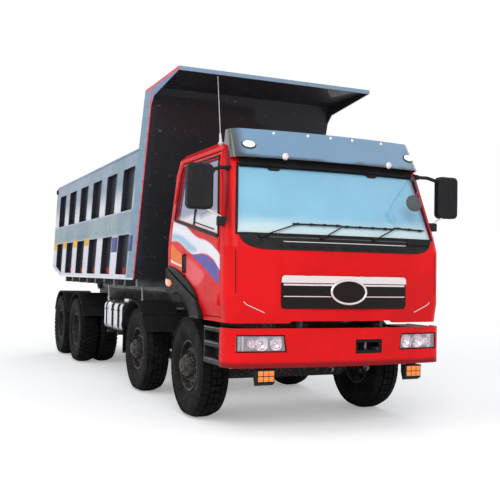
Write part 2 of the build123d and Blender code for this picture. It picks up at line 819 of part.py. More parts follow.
knuckles = {}
for axle_number, axle in ((1, axle_1), (2, axle_2)):
    for side, letter in ((-1, "r"), (1, "l")):
        fork_height = boss_height + 2 * (fork_gap + fork_plate)
        with BuildPart() as knuckle:
            with BuildSketch(outboard(side * kingpin_x, axle + side * side * fork_width / 2, hub_z, side)):
                with BuildLine():
                    Polyline(
                        (-fork_back, -fork_height / 2),
                        (fork_face, -fork_height / 2),
                        (fork_face, fork_height / 2),
                        (-fork_back, fork_height / 2),
                        (-fork_back, fork_height / 2 - fork_plate),
                        (boss_radius + fork_gap, fork_height / 2 - fork_plate),
                        (boss_radius + fork_gap, fork_plate - fork_height / 2),
                        (-fork_back, fork_plate - fork_height / 2),
                        close=True,
                    )
                make_face()
            extrude(amount=side * fork_width)
            with BuildSketch(Plane.XY.offset(hub_z - fork_height / 2)):
                with Locations((side * kingpin_x, axle)):
                    Circle(kingpin_radius)
            extrude(amount=fork_height)
            with BuildSketch(Plane.YZ.offset(side * (kingpin_x + fork_face))):
                with Locations((axle, hub_z)):
                    Circle(stub_radius)
            extrude(amount=side * (stub_tip - fork_face))
            with Locations((side * (kingpin_x - fork_back / 2), axle + arm_length / 2, hub_z + fork_height / 2 - 15)):
                Box(44, arm_length, arm_height)
        knuckles[f"knuckle_{axle_number}{letter}"] = knuckle.part

# Wheels and tyres, drawn outwards from each wheel's own middle as rings of flat facets
ring_sides = 24
# columns: station across the tyre as a share of half its width, radius
tyre_sections = (
    (-1.0, tyre_radius - 140),
    (-0.86, tyre_radius - 18),
    (-0.6, tyre_radius),
    (0.6, tyre_radius),
    (0.86, tyre_radius - 18),
    (1.0, tyre_radius - 140),
)
bead_station = 0.72
bead_radius = rim_radius + 12
rim_half = 104
rim_wall = 16
disc_thickness = 16
hub_radius = 112
front_dish = 60
hand_holes = 8
hand_hole_radius = 30
hand_hole_sides = 6
hand_hole_circle = 205


def facet_ring(start, end, start_radius, end_radius):
    """A many-sided ring of a wheel or tyre between two stations along its axle, with flat facets."""
    with BuildPart() as ring:
        with BuildSketch(Plane.XY.offset(start)):
            RegularPolygon(start_radius, ring_sides, major_radius=False, rotation=180 / ring_sides)
        extrude(amount=end - start, taper=degrees(atan2(start_radius - end_radius, end - start)))
    return ring.part


half_tyre = tyre_width / 2
flank_radius = tyre_sections[0][1]
with BuildPart() as tyre_form:
    for (start, start_radius), (end, end_radius) in zip(tyre_sections, tyre_sections[1:]):
        add(facet_ring(start * half_tyre, end * half_tyre, start_radius, end_radius))
    add(facet_ring(-half_tyre, -bead_station * half_tyre, flank_radius, bead_radius), mode=Mode.SUBTRACT)
    add(facet_ring(bead_station * half_tyre, half_tyre, bead_radius, flank_radius), mode=Mode.SUBTRACT)
    add(facet_ring(-half_tyre, half_tyre, rim_radius, rim_radius), mode=Mode.SUBTRACT)


def rim_form(face):
    """A rim whose pierced disc stands with its face at that distance outboard of the rim's middle."""
    well = rim_radius - rim_wall
    with BuildPart() as form:
        add(facet_ring(-rim_half, rim_half, rim_radius, rim_radius))
        if face - disc_thickness > -rim_half:
            add(facet_ring(-rim_half - 1, face - disc_thickness, well, well), mode=Mode.SUBTRACT)
        if face < rim_half:
            add(facet_ring(face, rim_half + 1, well, well), mode=Mode.SUBTRACT)
        with BuildSketch(Plane.XY.offset(face - disc_thickness)):
            with PolarLocations(hand_hole_circle, hand_holes):
                RegularPolygon(hand_hole_radius, hand_hole_sides)
        extrude(amount=disc_thickness, mode=Mode.SUBTRACT)
    return form.part


def axle_plane(x, y, side):
    """The plane of a wheel's middle, facing outboard."""
    return Plane(origin=(side * x, y, hub_z), x_dir=(0, 1, 0), z_dir=(side, 0, 0))


front_rim = rim_form(front_dish)
inner_rim = rim_form(rim_half)
outer_rim = rim_form(disc_thickness - rim_half)

wheels = {}
for axle_number, axle in ((1, axle_1), (2, axle_2)):
    for side, letter in ((-1, "r"), (1, "l")):
        middle = axle_plane(front_track / 2, axle, side)
        with BuildPart() as wheel:
            with Locations(middle):
                add(front_rim)
            with BuildSketch(middle.offset(front_dish - 60)):
                Circle(hub_radius)
            extrude(amount=150)
            with BuildSketch(middle.offset(front_dish - 60)):
                Circle(stub_radius + seat_gap)
            extrude(amount=stub_tip - kingpin_inset - front_dish + 60 + moving_gap, mode=Mode.SUBTRACT)
        wheels[f"wheel_{axle_number}{letter}"] = wheel.part
        with BuildPart() as tyre:
            with Locations(middle):
                add(tyre_form.part)
        wheels[f"tyre_{axle_number}{letter}"] = tyre.part

rear_hub_start = 660
rear_hub_end = 1100
rear_bore_depth = 180
for axle_number, axle in ((3, axle_3), (4, axle_4)):
    for side, letter in ((-1, "r"), (1, "l")):
        inner = axle_plane(twin_track / 2 - twin_gap / 2, axle, side)
        outer = axle_plane(twin_track / 2 + twin_gap / 2, axle, side)
        with BuildPart() as wheel:
            with Locations(inner):
                add(inner_rim)
            with Locations(outer):
                add(outer_rim)
            with BuildSketch(axle_plane(rear_hub_start, axle, side)):
                Circle(hub_radius)
            extrude(amount=rear_hub_end - rear_hub_start)
            with BuildSketch(inner.offset(rim_half)):
                Circle(rim_radius - 2 * rim_wall)
            extrude(amount=twin_gap - 2 * rim_half)
            with BuildSketch(axle_plane(rear_hub_start, axle, side)):
                Circle(tube_radius + 4)
            extrude(amount=rear_bore_depth, mode=Mode.SUBTRACT)
        wheels[f"wheel_{axle_number}{letter}"] = wheel.part
        with BuildPart() as tyre:
            for middle in (inner, outer):
                with Locations(middle):
                    add(tyre_form.part)
        wheels[f"tyre_{axle_number}{letter}"] = tyre.part

# Cab: plan outlines lofted from the skirt to the roof, hollow, with doors and windows cut from the same form
# columns: height, half width, setback of the front's middle
cab_sections = (
    (cab_bottom, 1190, 48),
    (1250, 1212, 38),
    (1780, 1220, 52),
    (1930, 1212, 95),
    (2620, 1135, 335),
    (2790, 1095, 410),
    (cab_roof, 1020, 520),
)
door_gap = 9
pane_thickness = 6
pane_inset = 20
arch_front = 790
door_front = 318
door_rear = 1790
belt_z = 1930
# Outlines seen from the side, as setback and height
underside = ((arch_front, cab_bottom), (905, 1195), (1765, 1480), (cab_rear, 1515))
door_outline = (
    (door_front, 1105),
    (760, 1105),
    (875, 1250),
    (door_rear, 1555),
    (door_rear, 2080),
    (1725, 2735),
    (580, 2735),
    (door_front, 1945),
)
window_outline = ((385, 1900), (1715, 2120), (1668, 2672), (625, 2672))
# Half widths at the foot and top of the slot over the bumper, and its height
slot_foot = 600
slot_head = 560
slot_height = 20
# columns: X, Z of the windscreen's corners on the truck's left
screen_outline = ((1105, 1915), (1010, 2585))


def side_view(points):
    """Points given as setback and height, as they are drawn in Y and Z."""
    return [(back(setback), height) for setback, height in points]


def cab_form(inset):
    """The cab's outer form, drawn in by that inset all round."""
    with BuildPart() as form:
        for height, half_width, setback in cab_sections:
            level = height - inset if height == cab_roof else height
            with BuildSketch(Plane.XY.offset(level)):
                with BuildLine():
                    front_outline(
                        half_width - inset,
                        back(setback + inset),
                        cab_corner - inset,
                        back(cab_rear - inset),
                    )
                make_face()
        loft(ruled=True)
    return form.part


cab_outer = cab_form(0)
with BuildPart() as cab_blank:
    add(cab_outer)
    # The sides and floor rise over the front wheels
    with BuildSketch(Plane.YZ.offset(-1300)):
        with BuildLine():
            Polyline(
                *side_view(underside),
                (back(cab_rear + 50), underside[-1][1]),
                (back(cab_rear + 50), cab_bottom - 50),
                (back(arch_front), cab_bottom - 50),
                close=True,
            )
        make_face()
    extrude(amount=2600, mode=Mode.SUBTRACT)

with BuildPart() as cab_cavity:
    add(cab_form(cab_wall))
    floor_points = [(setback, height + cab_floor_thickness) for setback, height in underside[1:]]
    with BuildSketch(Plane.YZ.offset(-1300)):
        with BuildLine():
            Polyline(
                (back(-50), cab_floor_top),
                (back(905), cab_floor_top),
                *side_view(floor_points),
                (back(cab_rear + 50), floor_points[-1][1]),
                (back(cab_rear + 50), cab_bottom - 50),
                (back(-50), cab_bottom - 50),
                close=True,
            )
        make_face()
    extrude(amount=2600, mode=Mode.SUBTRACT)

with BuildPart() as cab_walls:
    add(cab_blank.part)
    add(cab_cavity.part, mode=Mode.SUBTRACT)
    # Open below the footwell's floor, inside the front panel and the skirts
    with BuildSketch(Plane.XY.offset(cab_bottom - 1)):
        with BuildLine():
            front_outline(
                cab_sections[0][1] - cab_wall,
                back(cab_sections[0][2] + cab_wall),
                cab_corner - cab_wall,
                back(underside[1][0] + 20),
            )
        make_face()
    extrude(amount=cab_floor_top - cab_floor_thickness - cab_bottom + 1, mode=Mode.SUBTRACT)

with BuildPart() as side_shell:
    add(cab_outer)
    add(cab_form(cab_wall), mode=Mode.SUBTRACT)


def door_panel(side, growth):
    """The piece of the cab's wall inside the door's outline, which grows or shrinks by that amount."""
    with BuildPart() as panel:
        add(side_shell.part)
        with BuildSketch(Plane.YZ.offset(side * 900)):
            with BuildLine():
                Polyline(*side_view(door_outline), close=True)
            make_face()
            offset(amount=growth, kind=Kind.INTERSECTION)
        extrude(amount=side * 400, mode=Mode.INTERSECT)
    return panel.part


with BuildPart() as cab_shell:
    add(cab_walls.part)
    for side in (-1, 1):
        add(door_panel(side, door_gap / 2), mode=Mode.SUBTRACT)
    with BuildSketch(across(back(-50))):
        with BuildLine():
            Polyline(
                *screen_outline,
                *((-x, z) for x, z in reversed(screen_outline)),
                close=True,
            )
        make_face()
    extrude(amount=-800, mode=Mode.SUBTRACT)
    with BuildSketch(across(back(-50))):
        with BuildLine():
            Polyline(
                (-slot_foot, cab_bottom - 1),
                (slot_foot, cab_bottom - 1),
                (slot_head, cab_bottom + slot_height),
                (-slot_head, cab_bottom + slot_height),
                close=True,
            )
        make_face()
    extrude(amount=-300, mode=Mode.SUBTRACT)
    # Lugs under the footwell with the pins that turn in the frame's arms
    for side in (-1, 1):
        lug_x = side * (web_face + moving_gap + 18)
        with BuildSketch(Plane.YZ.offset(lug_x - 18)):
            with BuildLine():
                Polyline(
                    (back(pivot_setback) - 40, cab_floor_top - cab_floor_thickness),
                    (back(pivot_setback) - 26, pivot_z - 26),
                    (back(pivot_setback) + 26, pivot_z - 26),
                    (back(pivot_setback) + 150, cab_floor_top - cab_floor_thickness),
                    close=True,
                )
            make_face()
        extrude(amount=36)
        with BuildSketch(Plane.YZ.offset(side * (web_face - pivot_arm_width))):
            with Locations((back(pivot_setback), pivot_z)):
                Circle(pivot_radius / 2)
        extrude(amount=side * (pivot_arm_width + moving_gap + 18))

with BuildPart() as pane_blank:
    add(cab_form(pane_inset))
    add(cab_form(pane_inset + pane_thickness), mode=Mode.SUBTRACT)

with BuildPart() as windscreen:
    add(pane_blank.part)
    with BuildSketch(across(back(-50))):
        with BuildLine():
            Polyline(
                *screen_outline,
                *((-x, z) for x, z in reversed(screen_outline)),
                close=True,
            )
        make_face()
    extrude(amount=-800, mode=Mode.INTERSECT)

doors = {}
for side, letter in ((-1, "right"), (1, "left")):
    with BuildPart() as door:
        add(door_panel(side, -door_gap / 2))
        with BuildSketch(Plane.YZ.offset(side * 900)):
            with BuildLine():
                Polyline(*side_view(window_outline), close=True)
            make_face()
        extrude(amount=side * 400, mode=Mode.SUBTRACT)
    doors[f"door_{letter}"] = door.part
    with BuildPart() as door_glass:
        add(pane_blank.part)
        with BuildSketch(Plane.YZ.offset(side * 900)):
            with BuildLine():
                Polyline(*side_view(window_outline), close=True)
            make_face()
        extrude(amount=side * 400, mode=Mode.INTERSECT)
    doors[f"door_glass_{letter}"] = door_glass.part

# Fittings that stand proud of the cab: each is cut from a form a little larger than the cab's own
grille_centre = (20, 1358)
grille_width = 1410
grille_height = 318
grille_corner = 40
grille_proud = 12
strip_height = 72
strip_proud = 24
line_height = 12
line_proud = 17
badge_width = 410
badge_height = 250
badge_rise = 5
badge_proud = 34
badge_ring = 20
front_clear = 50

with BuildPart() as grille_strip:
    add(cab_form(-strip_proud))
    with BuildSketch(across(back(-front_clear))):
        with Locations(grille_centre):
            RectangleRounded(grille_width, grille_height, grille_corner)
            with Locations((0, -strip_height)):
                Rectangle(grille_width, grille_height, mode=Mode.SUBTRACT)
    extrude(amount=-400, mode=Mode.INTERSECT)

with BuildPart() as grille_line:
    add(cab_form(-line_proud))
    with BuildSketch(across(back(-front_clear))):
        with Locations((grille_centre[0], grille_centre[1] - strip_height / 2)):
            Rectangle(grille_width - 2 * grille_corner, line_height)
    extrude(amount=-400, mode=Mode.INTERSECT)

with BuildPart() as badge_rim:
    add(cab_form(-badge_proud))
    with BuildSketch(across(back(-front_clear))):
        with Locations((grille_centre[0], grille_centre[1] + badge_rise)):
            Ellipse(badge_width / 2, badge_height / 2)
    extrude(amount=-400, mode=Mode.INTERSECT)
    # The badge's face lies lower than its ring
    with BuildSketch(across(back(-front_clear))):
        with Locations((grille_centre[0], grille_centre[1] + badge_rise)):
            Ellipse(badge_width / 2 - badge_ring, badge_height / 2 - badge_ring)
    extrude(amount=-400, mode=Mode.SUBTRACT)

with BuildPart() as badge_face:
    add(cab_form(-strip_proud))
    with BuildSketch(across(back(-front_clear))):
        with Locations((grille_centre[0], grille_centre[1] + badge_rise)):
            Ellipse(badge_width / 2 - badge_ring, badge_height / 2 - badge_ring)
    extrude(amount=-400, mode=Mode.INTERSECT)

with BuildPart() as grille:
    add(cab_form(-grille_proud))
    with BuildSketch(across(back(-front_clear))):
        with Locations(grille_centre):
            RectangleRounded(grille_width, grille_height, grille_corner)
    extrude(amount=-400, mode=Mode.INTERSECT)
    for fitting in (grille_strip, grille_line, badge_rim, badge_face):
        add(fitting.part)
    add(cab_outer, mode=Mode.SUBTRACT)

# columns: X, Z of the cowl's outline on the truck's left, from its foot upwards
cowl_outline = ((800, 1757), (960, 1776), (1060, 1825), (1085, 1905))
cowl_proud = 8
wiper_pivots = (-560, 0, 545)
wiper_pivot_z = 1850
wiper_lift = 24
wiper_thickness = 14
wiper_post = 14
# columns: distance from the pivot to the truck's left, height above it
wiper_outline = (
    (-16, -18),
    (16, -18),
    (330, 98),
    (560, 108),
    (560, 130),
    (40, 118),
    (40, 96),
    (250, 96),
    (-16, 18),
)

with BuildPart() as cowl:
    add(cab_form(-cowl_proud))
    with BuildSketch(across(back(-front_clear))):
        with BuildLine():
            Polyline(*cowl_outline, *((-x, z) for x, z in reversed(cowl_outline)), close=True)
        make_face()
    extrude(amount=-500, mode=Mode.INTERSECT)

with BuildPart() as wiper_posts:
    add(cab_form(-wiper_lift - wiper_thickness))
    with BuildSketch(across(back(-2 * front_clear))):
        with Locations(*((pivot, wiper_pivot_z) for pivot in wiper_pivots)):
            Circle(wiper_post)
    extrude(amount=-500, mode=Mode.INTERSECT)

with BuildPart() as wipers:
    add(cab_form(-wiper_lift - wiper_thickness))
    with BuildSketch(across(back(-2 * front_clear))):
        for pivot in wiper_pivots:
            with BuildLine():
                Polyline(*((pivot + x, wiper_pivot_z + z) for x, z in wiper_outline), close=True)
            make_face()
    extrude(amount=-500, mode=Mode.INTERSECT)
    add(cab_form(-wiper_lift), mode=Mode.SUBTRACT)
    add(cowl.part)
    add(wiper_posts.part)
    add(cab_outer, mode=Mode.SUBTRACT)

visor_bottom = 2655
visor_top = 2960
visor_half = 1080
visor_taper = 25
visor_setback = 225
visor_lean = 175
visor_rear = 640
visor_thickness = 14

with BuildPart() as sun_visor:
    for inset, mode in ((0, Mode.ADD), (visor_thickness, Mode.SUBTRACT)):
        for height, half_width, setback in (
            (visor_bottom, visor_half, visor_setback),
            (visor_top, visor_half - visor_taper, visor_setback + visor_lean),
        ):
            with BuildSketch(Plane.XY.offset(height)):
                with BuildLine():
                    front_outline(
                        half_width - inset,
                        back(setback + inset),
                        cab_corner - inset,
                        back(visor_rear + inset),
                    )
                make_face()
        loft(ruled=True, mode=mode)
    add(cab_outer, mode=Mode.SUBTRACT)

flare_height = 66
flare_proud = 36

with BuildPart() as arch_flares:
    add(cab_form(-flare_proud))
    with BuildSketch(Plane.YZ.offset(-1400)):
        with BuildLine():
            Polyline(
                *side_view(underside),
                *side_view([(setback, height + flare_height) for setback, height in reversed(underside)]),
                close=True,
            )
        make_face()
    extrude(amount=2800, mode=Mode.INTERSECT)
    add(cab_outer, mode=Mode.SUBTRACT)
    with Locations((0, back(cab_rear + 50), cab_bottom + 300)):
        Box(2600, 99, 1000, mode=Mode.SUBTRACT)

# Mirrors on arms from the windscreen's corners
# columns: side, housing's inner X, outer X, bottom, top
mirror_table = ((-1, 1300, 1560, 2125, 2560), (1, 1300, 1560, 2165, 2615))
mirror_front = 285
mirror_rear = 375
mirror_arm = 15

with BuildPart() as mirrors:
    for side, inner_x, outer_x, bottom, top in mirror_table:
        with BuildSketch(across(back(mirror_front))):
            with Locations((side * (inner_x + outer_x) / 2, (bottom + top) / 2)):
                RectangleRounded(outer_x - inner_x, top - bottom, 45)
        extrude(amount=-(mirror_rear - mirror_front))
        for height, cab_x, cab_setback in ((top - 60, 1060, 470), (bottom + 50, 1150, 300)):
            start = Vector(side * cab_x, back(cab_setback), height)
            end = Vector(side * (inner_x + 30), back((mirror_front + mirror_rear) / 2), height)
            with BuildSketch(Plane(origin=start, x_dir=(0, 0, 1), z_dir=end - start)):
                RegularPolygon(mirror_arm, 8, rotation=15)
            extrude(amount=(end - start).length)
    add(cab_outer, mode=Mode.SUBTRACT)

# Inside the cab: seats, dashboard and steering wheel
seat_x = 560
seat_width = 500
seat_top = 1720

with BuildPart() as seats:
    for side in (-1, 1):
        with BuildSketch(Plane.YZ.offset(side * seat_x - seat_width / 2)):
            with BuildLine():
                Polyline(
                    (back(1060), 1580),
                    (back(1080), seat_top),
                    (back(1490), seat_top - 10),
                    (back(1560), seat_top + 640),
                    (back(1680), seat_top + 640),
                    (back(1640), 1600),
                    (back(1640), 1540),
                    (back(1500), 1480),
                    (back(1080), 1345),
                    close=True,
                )
            make_face()
        extrude(amount=seat_width)

dash_profile = ((60, 1330), (420, 1400), (560, 1560), (600, 1760), (480, 1850), (250, 1885), (60, 1885))

with BuildPart() as dashboard:
    add(cab_cavity.part)
    with BuildSketch(Plane.YZ.offset(-1300)):
        with BuildLine():
            Polyline(*side_view(dash_profile), close=True)
        make_face()
    extrude(amount=2600, mode=Mode.INTERSECT)
    for side in (-1, 1):
        with Locations((side * 1235, back(400), 1600)):
            Box(200, 1200, 900, mode=Mode.SUBTRACT)

steering_x = -seat_x
steering_radius = 225
steering_plane = Plane(origin=(steering_x, back(800), 1905), x_dir=(1, 0, 0), z_dir=(0, 0.42, 1))

with BuildPart() as steering_wheel:
    with BuildSketch(steering_plane):
        RegularPolygon(steering_radius, 24)
        RegularPolygon(steering_radius - 30, 24, mode=Mode.SUBTRACT)
        Rectangle(2 * steering_radius - 30, 45)
        Circle(60)
    extrude(amount=26)
    with BuildSketch(steering_plane):
        RegularPolygon(34, 10)
    extrude(amount=-330)
    add(dashboard.part, mode=Mode.SUBTRACT)

# Tipping body: side walls with two rows of recessed bays, a raked front wall and a canopy over the cab
body_bottom = 1430
body_floor = 60
tail_flat_end = 8225
tail_rise = 190
front_line = body_start + 30
tail_x = body_start + body_length
bay_columns = 6
bay_start = 3490
bay_pitch = 910
bay_width = 570
bay_reference_z = 2020
# columns: bottom, top of each row of bays
bay_rows = ((1485, 2020), (2340, 2900))
canopy_tip = 1600
canopy_tip_z = 3812
canopy_lip = 45
canopy_skin = 20
gate_thickness = 75
gate_gap = 8
gate_pin_radius = 20
gate_pin_z = 3020
sill_bottom = frame_top + subframe_height + 8
ear_gap = 8
ear_plate = 26


def front_at(height):
    """The setback of the front wall's face at that height."""
    return front_line - front_rake * (height - body_bottom)


def tail_at(height):
    """The setback of the side walls' rear edge at that height."""
    return tail_x - tail_rake * (height - body_bottom - tail_rise)


tail_slope = tail_rise / (tail_x - tail_flat_end)
side_profile = (
    (front_line, body_bottom),
    (tail_flat_end, body_bottom),
    (tail_x, body_bottom + tail_rise),
    (tail_at(side_top), side_top),
    (front_at(side_top) + post_depth + 40, side_top),
    (front_at(post_top) + post_depth, post_top),
    (front_at(post_top), post_top),
)
load_profile = (
    (front_at(body_bottom + body_floor) + body_floor, body_bottom + body_floor),
    (tail_flat_end, body_bottom + body_floor),
    (tail_x + 200, body_bottom + body_floor + tail_slope * (tail_x + 200 - tail_flat_end)),
    (tail_x + 200, post_top + 100),
    (front_at(post_top + 100) + body_floor, post_top + 100),
)
field_profile = (
    (front_line + 60, body_bottom + 55),
    (tail_flat_end, body_bottom + 55),
    (tail_x - 80, body_bottom + 55 + tail_slope * (tail_x - 80 - tail_flat_end)),
    (tail_at(side_top) - 80, side_top),
    (front_at(side_top) + 120, side_top),
)
canopy_profile = (
    (front_at(post_top) + body_floor, post_top),
    (canopy_tip, canopy_tip_z),
    (canopy_tip, canopy_tip_z - canopy_lip),
    (front_at(3660) - 80, 3660),
    (front_at(3560) + 5, 3560),
)

with BuildPart() as dump_body:
    with BuildSketch(Plane.YZ.offset(-body_width / 2)):
        with BuildLine():
            Polyline(*side_view(side_profile), close=True)
        make_face()
    extrude(amount=body_width)
    with BuildSketch(Plane.YZ.offset(side_wall - body_width / 2)):
        with BuildLine():
            Polyline(*side_view(load_profile), close=True)
        make_face()
    extrude(amount=body_width - 2 * side_wall, mode=Mode.SUBTRACT)
    for side in (-1, 1):
        with BuildSketch(Plane.YZ.offset(side * body_width / 2)):
            for row_bottom, row_top in bay_rows:
                for column in range(bay_columns):
                    bay_low = bay_start + column * bay_pitch - rib_rake * (row_bottom - bay_reference_z)
                    bay_high = bay_start + column * bay_pitch - rib_rake * (row_top - bay_reference_z)
                    with BuildLine():
                        Polyline(
                            (back(bay_low), row_bottom),
                            (back(bay_low + bay_width), row_bottom),
                            (back(bay_high + bay_width), row_top),
                            (back(bay_high), row_top),
                            close=True,
                        )
                    make_face()
            with BuildLine():
                Polyline(*side_view(field_profile), close=True)
            make_face(mode=Mode.INTERSECT)
        extrude(amount=-side * (side_wall - side_skin), mode=Mode.SUBTRACT)
    # Canopy: a wedge with side skirts, open below
    with BuildSketch(Plane.YZ.offset(-body_width / 2)):
        with BuildLine():
            Polyline(*side_view(canopy_profile), close=True)
        make_face()
    extrude(amount=body_width)
    with BuildSketch(Plane.YZ.offset(canopy_skin - body_width / 2)):
        with BuildLine():
            Polyline(
                (back(front_at(post_top - canopy_skin)), post_top - canopy_skin),
                (back(canopy_tip + canopy_skin), canopy_tip_z - canopy_skin),
                (back(canopy_tip + canopy_skin), canopy_tip_z - canopy_lip - 100),
                (back(front_at(3560) - 200), 3460),
                (back(front_at(3460)), 3460),
                close=True,
            )
        make_face()
    extrude(amount=body_width - 2 * canopy_skin, mode=Mode.SUBTRACT)
    # Sills and crossbearers under the floor
    for side in (-1, 1):
        sill_end = hinge_setback - 2 * hinge_radius - 30
        with Locations((
            side * (web_face - subframe_width / 2),
            back((front_line + 20 + sill_end) / 2),
            (sill_bottom + body_bottom) / 2,
        )):
            Box(subframe_width, sill_end - front_line - 20, body_bottom - sill_bottom)
    for column in range(9):
        with Locations((0, back(front_line + 140 + column * 590), body_bottom - 50)):
            Box(body_width - 160, 80, 100)
    # Hinge plates outside the subframe's bosses
    for side in (-1, 1):
        with BuildSketch(Plane.YZ.offset(side * (web_face + moving_gap))):
            with BuildLine():
                Polyline(
                    (back(hinge_setback) - 260, body_bottom + 20),
                    (back(hinge_setback) - 60, hinge_z - 52),
                    (back(hinge_setback) + 60, hinge_z - 52),
                    (back(hinge_setback) + 200, body_bottom + 80),
                    close=True,
                )
            make_face()
            with Locations((back(hinge_setback), hinge_z)):
                Circle(80)
                Circle(hinge_radius + seat_gap, mode=Mode.SUBTRACT)
        extrude(amount=side * hinge_plate)
    # Ears on the front wall that hold the hoist's eye between them
    for side in (-1, 1):
        with BuildSketch(Plane.YZ.offset(side * (eye_plate / 2 + ear_gap))):
            with BuildLine():
                Polyline(
                    (back(front_at(eye_z + 170) + 4), eye_z + 170),
                    (back(eye_setback) - 40, eye_z + 52),
                    (back(eye_setback) - 40, eye_z - 52),
                    (back(front_at(eye_z - 170) + 4), eye_z - 170),
                    close=True,
                )
            make_face()
        extrude(amount=side * ear_plate)
        with BuildSketch(Plane.YZ.offset(side * (eye_plate / 2 + ear_gap + ear_plate))):
            with Locations((back(eye_setback), eye_z)):
                Circle(30)
        extrude(amount=side * 14)
    # Bores for the tailgate's pins
    gate_pin_setback = tail_at(gate_pin_z) - gate_thickness / 2
    with BuildSketch(Plane.YZ.offset(-(body_width / 2 - 30))):
        with Locations((back(gate_pin_setback), gate_pin_z)):
            Circle(gate_pin_radius + seat_gap)
    extrude(amount=body_width - 60, mode=Mode.SUBTRACT)

# Tailgate: hangs from two pins at its top corners, with recessed panels behind
gate_half = body_width / 2 - side_wall - gate_gap
gate_bottom = body_bottom + body_floor + tail_slope * (tail_x - tail_flat_end) + 16
gate_lean = hypot(1, tail_rake)
gate_columns = 5

with BuildPart() as tailgate:
    with BuildSketch(Plane.YZ.offset(-gate_half)):
        with BuildLine():
            Polyline(
                (back(tail_at(gate_bottom)), gate_bottom),
                (back(tail_at(side_top)), side_top),
                (back(tail_at(side_top) - gate_thickness), side_top),
                (back(tail_at(gate_bottom) - gate_thickness), gate_bottom - tail_slope * gate_thickness),
                close=True,
            )
        make_face()
    extrude(amount=2 * gate_half)
    gate_face = Plane(
        origin=(0, back(tail_at(gate_bottom)), gate_bottom),
        x_dir=(-1, 0, 0),
        z_dir=(0, 1, tail_rake),
    )
    gate_height = (side_top - gate_bottom) * gate_lean
    panel_width = 2 * gate_half / gate_columns - 90
    with BuildSketch(gate_face):
        for level, height in ((90, gate_height * 0.4), (gate_height * 0.4 + 170, gate_height * 0.6 - 290)):
            with Locations((0, level + height / 2)):
                with GridLocations(2 * gate_half / gate_columns, 0, gate_columns, 1):
                    Rectangle(panel_width, height)
    extrude(amount=-(gate_thickness - 2 * side_skin) / gate_lean, mode=Mode.SUBTRACT)
    with BuildSketch(Plane.YZ.offset(-(body_width / 2 - 32))):
        with Locations((back(gate_pin_setback), gate_pin_z)):
            Circle(gate_pin_radius)
    extrude(amount=body_width - 64)

nodes = {
    "chassis_frame": chassis_frame.part,
    "engine": engine.part,
    "front_bumper": front_bumper.part,
    "headlamps": headlamps.part,
    "turn_lamps": turn_lamps.part,
    "cab_steps": cab_steps.part,
    "front_axles": front_axles.part,
    "front_springs": front_springs.part,
    "rear_axles": rear_axles.part,
    "tandem_suspension": tandem_suspension.part,
    "prop_shafts": prop_shafts.part,
    "fuel_tank": fuel_tank.part,
    "air_reservoirs": air_reservoirs.part,
    "battery_box": battery_box.part,
    "mudguards": mudguards.part,
    "hoist_subframe": hoist_subframe.part,
    "hoist_cradle": hoist_cradle.part,
    "rear_lamps": rear_lamps.part,
    "hoist_barrel": hoist_barrel.part,
    "cab_shell": cab_shell.part,
    "windscreen": windscreen.part,
    "grille": grille.part,
    "wipers": wipers.part,
    "sun_visor": sun_visor.part,
    "arch_flares": arch_flares.part,
    "mirrors": mirrors.part,
    "seats": seats.part,
    "dashboard": dashboard.part,
    "steering_wheel": steering_wheel.part,
    "dump_body": dump_body.part,
    "tailgate": tailgate.part,
    **{f"hoist_stage_{number + 1}": stage for number, stage in enumerate(hoist_stages)},
    **knuckles,
    **wheels,
    **doors,
}
for node_name, node in nodes.items():
    node.label = node_name
    export_step(node, f"parts/{node_name}.step")
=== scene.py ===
"""The looks of a four-axle tipping truck, dressed piece by piece around its fixed frame.

Metres. +X is the truck's left, +Y runs rearwards and +Z is up. The bumper's face is at the lowest Y.
"""

import json
import logging
import math
from collections.abc import Callable, Iterable, Sequence
from dataclasses import dataclass, field
from enum import Enum

import bmesh
import bpy
from mathutils import Matrix, Vector
from mathutils.bvhtree import BVHTree

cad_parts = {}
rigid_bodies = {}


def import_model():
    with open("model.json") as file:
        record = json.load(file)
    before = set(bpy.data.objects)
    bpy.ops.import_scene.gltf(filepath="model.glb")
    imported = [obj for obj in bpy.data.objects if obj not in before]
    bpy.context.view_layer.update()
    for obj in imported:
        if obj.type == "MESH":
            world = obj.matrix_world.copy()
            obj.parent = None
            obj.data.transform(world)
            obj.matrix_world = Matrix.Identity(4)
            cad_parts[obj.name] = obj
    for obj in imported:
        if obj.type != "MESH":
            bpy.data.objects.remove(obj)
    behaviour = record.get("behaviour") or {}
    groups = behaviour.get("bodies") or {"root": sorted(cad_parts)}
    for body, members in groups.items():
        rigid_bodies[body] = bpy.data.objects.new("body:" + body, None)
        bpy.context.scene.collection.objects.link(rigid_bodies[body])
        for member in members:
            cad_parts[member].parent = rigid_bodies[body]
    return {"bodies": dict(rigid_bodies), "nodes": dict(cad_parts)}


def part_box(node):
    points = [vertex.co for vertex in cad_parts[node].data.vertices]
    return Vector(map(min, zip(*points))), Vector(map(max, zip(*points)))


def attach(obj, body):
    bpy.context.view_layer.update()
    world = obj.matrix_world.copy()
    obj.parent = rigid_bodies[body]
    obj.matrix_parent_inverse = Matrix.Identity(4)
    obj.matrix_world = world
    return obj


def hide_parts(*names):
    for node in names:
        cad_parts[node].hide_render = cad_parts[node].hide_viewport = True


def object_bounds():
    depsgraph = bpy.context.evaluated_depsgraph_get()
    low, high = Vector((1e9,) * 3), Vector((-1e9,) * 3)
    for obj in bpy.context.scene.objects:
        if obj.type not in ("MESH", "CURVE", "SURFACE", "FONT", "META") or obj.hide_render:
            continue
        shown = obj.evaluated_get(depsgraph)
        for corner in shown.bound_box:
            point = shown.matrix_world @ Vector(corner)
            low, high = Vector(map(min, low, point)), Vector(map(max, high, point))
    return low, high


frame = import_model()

log = logging.getLogger("tipper")
Colour = tuple[float, float, float]
Place = Sequence[float]
Pair = tuple[float, float]
Thing = bpy.types.Object
Socket = bpy.types.NodeSocket

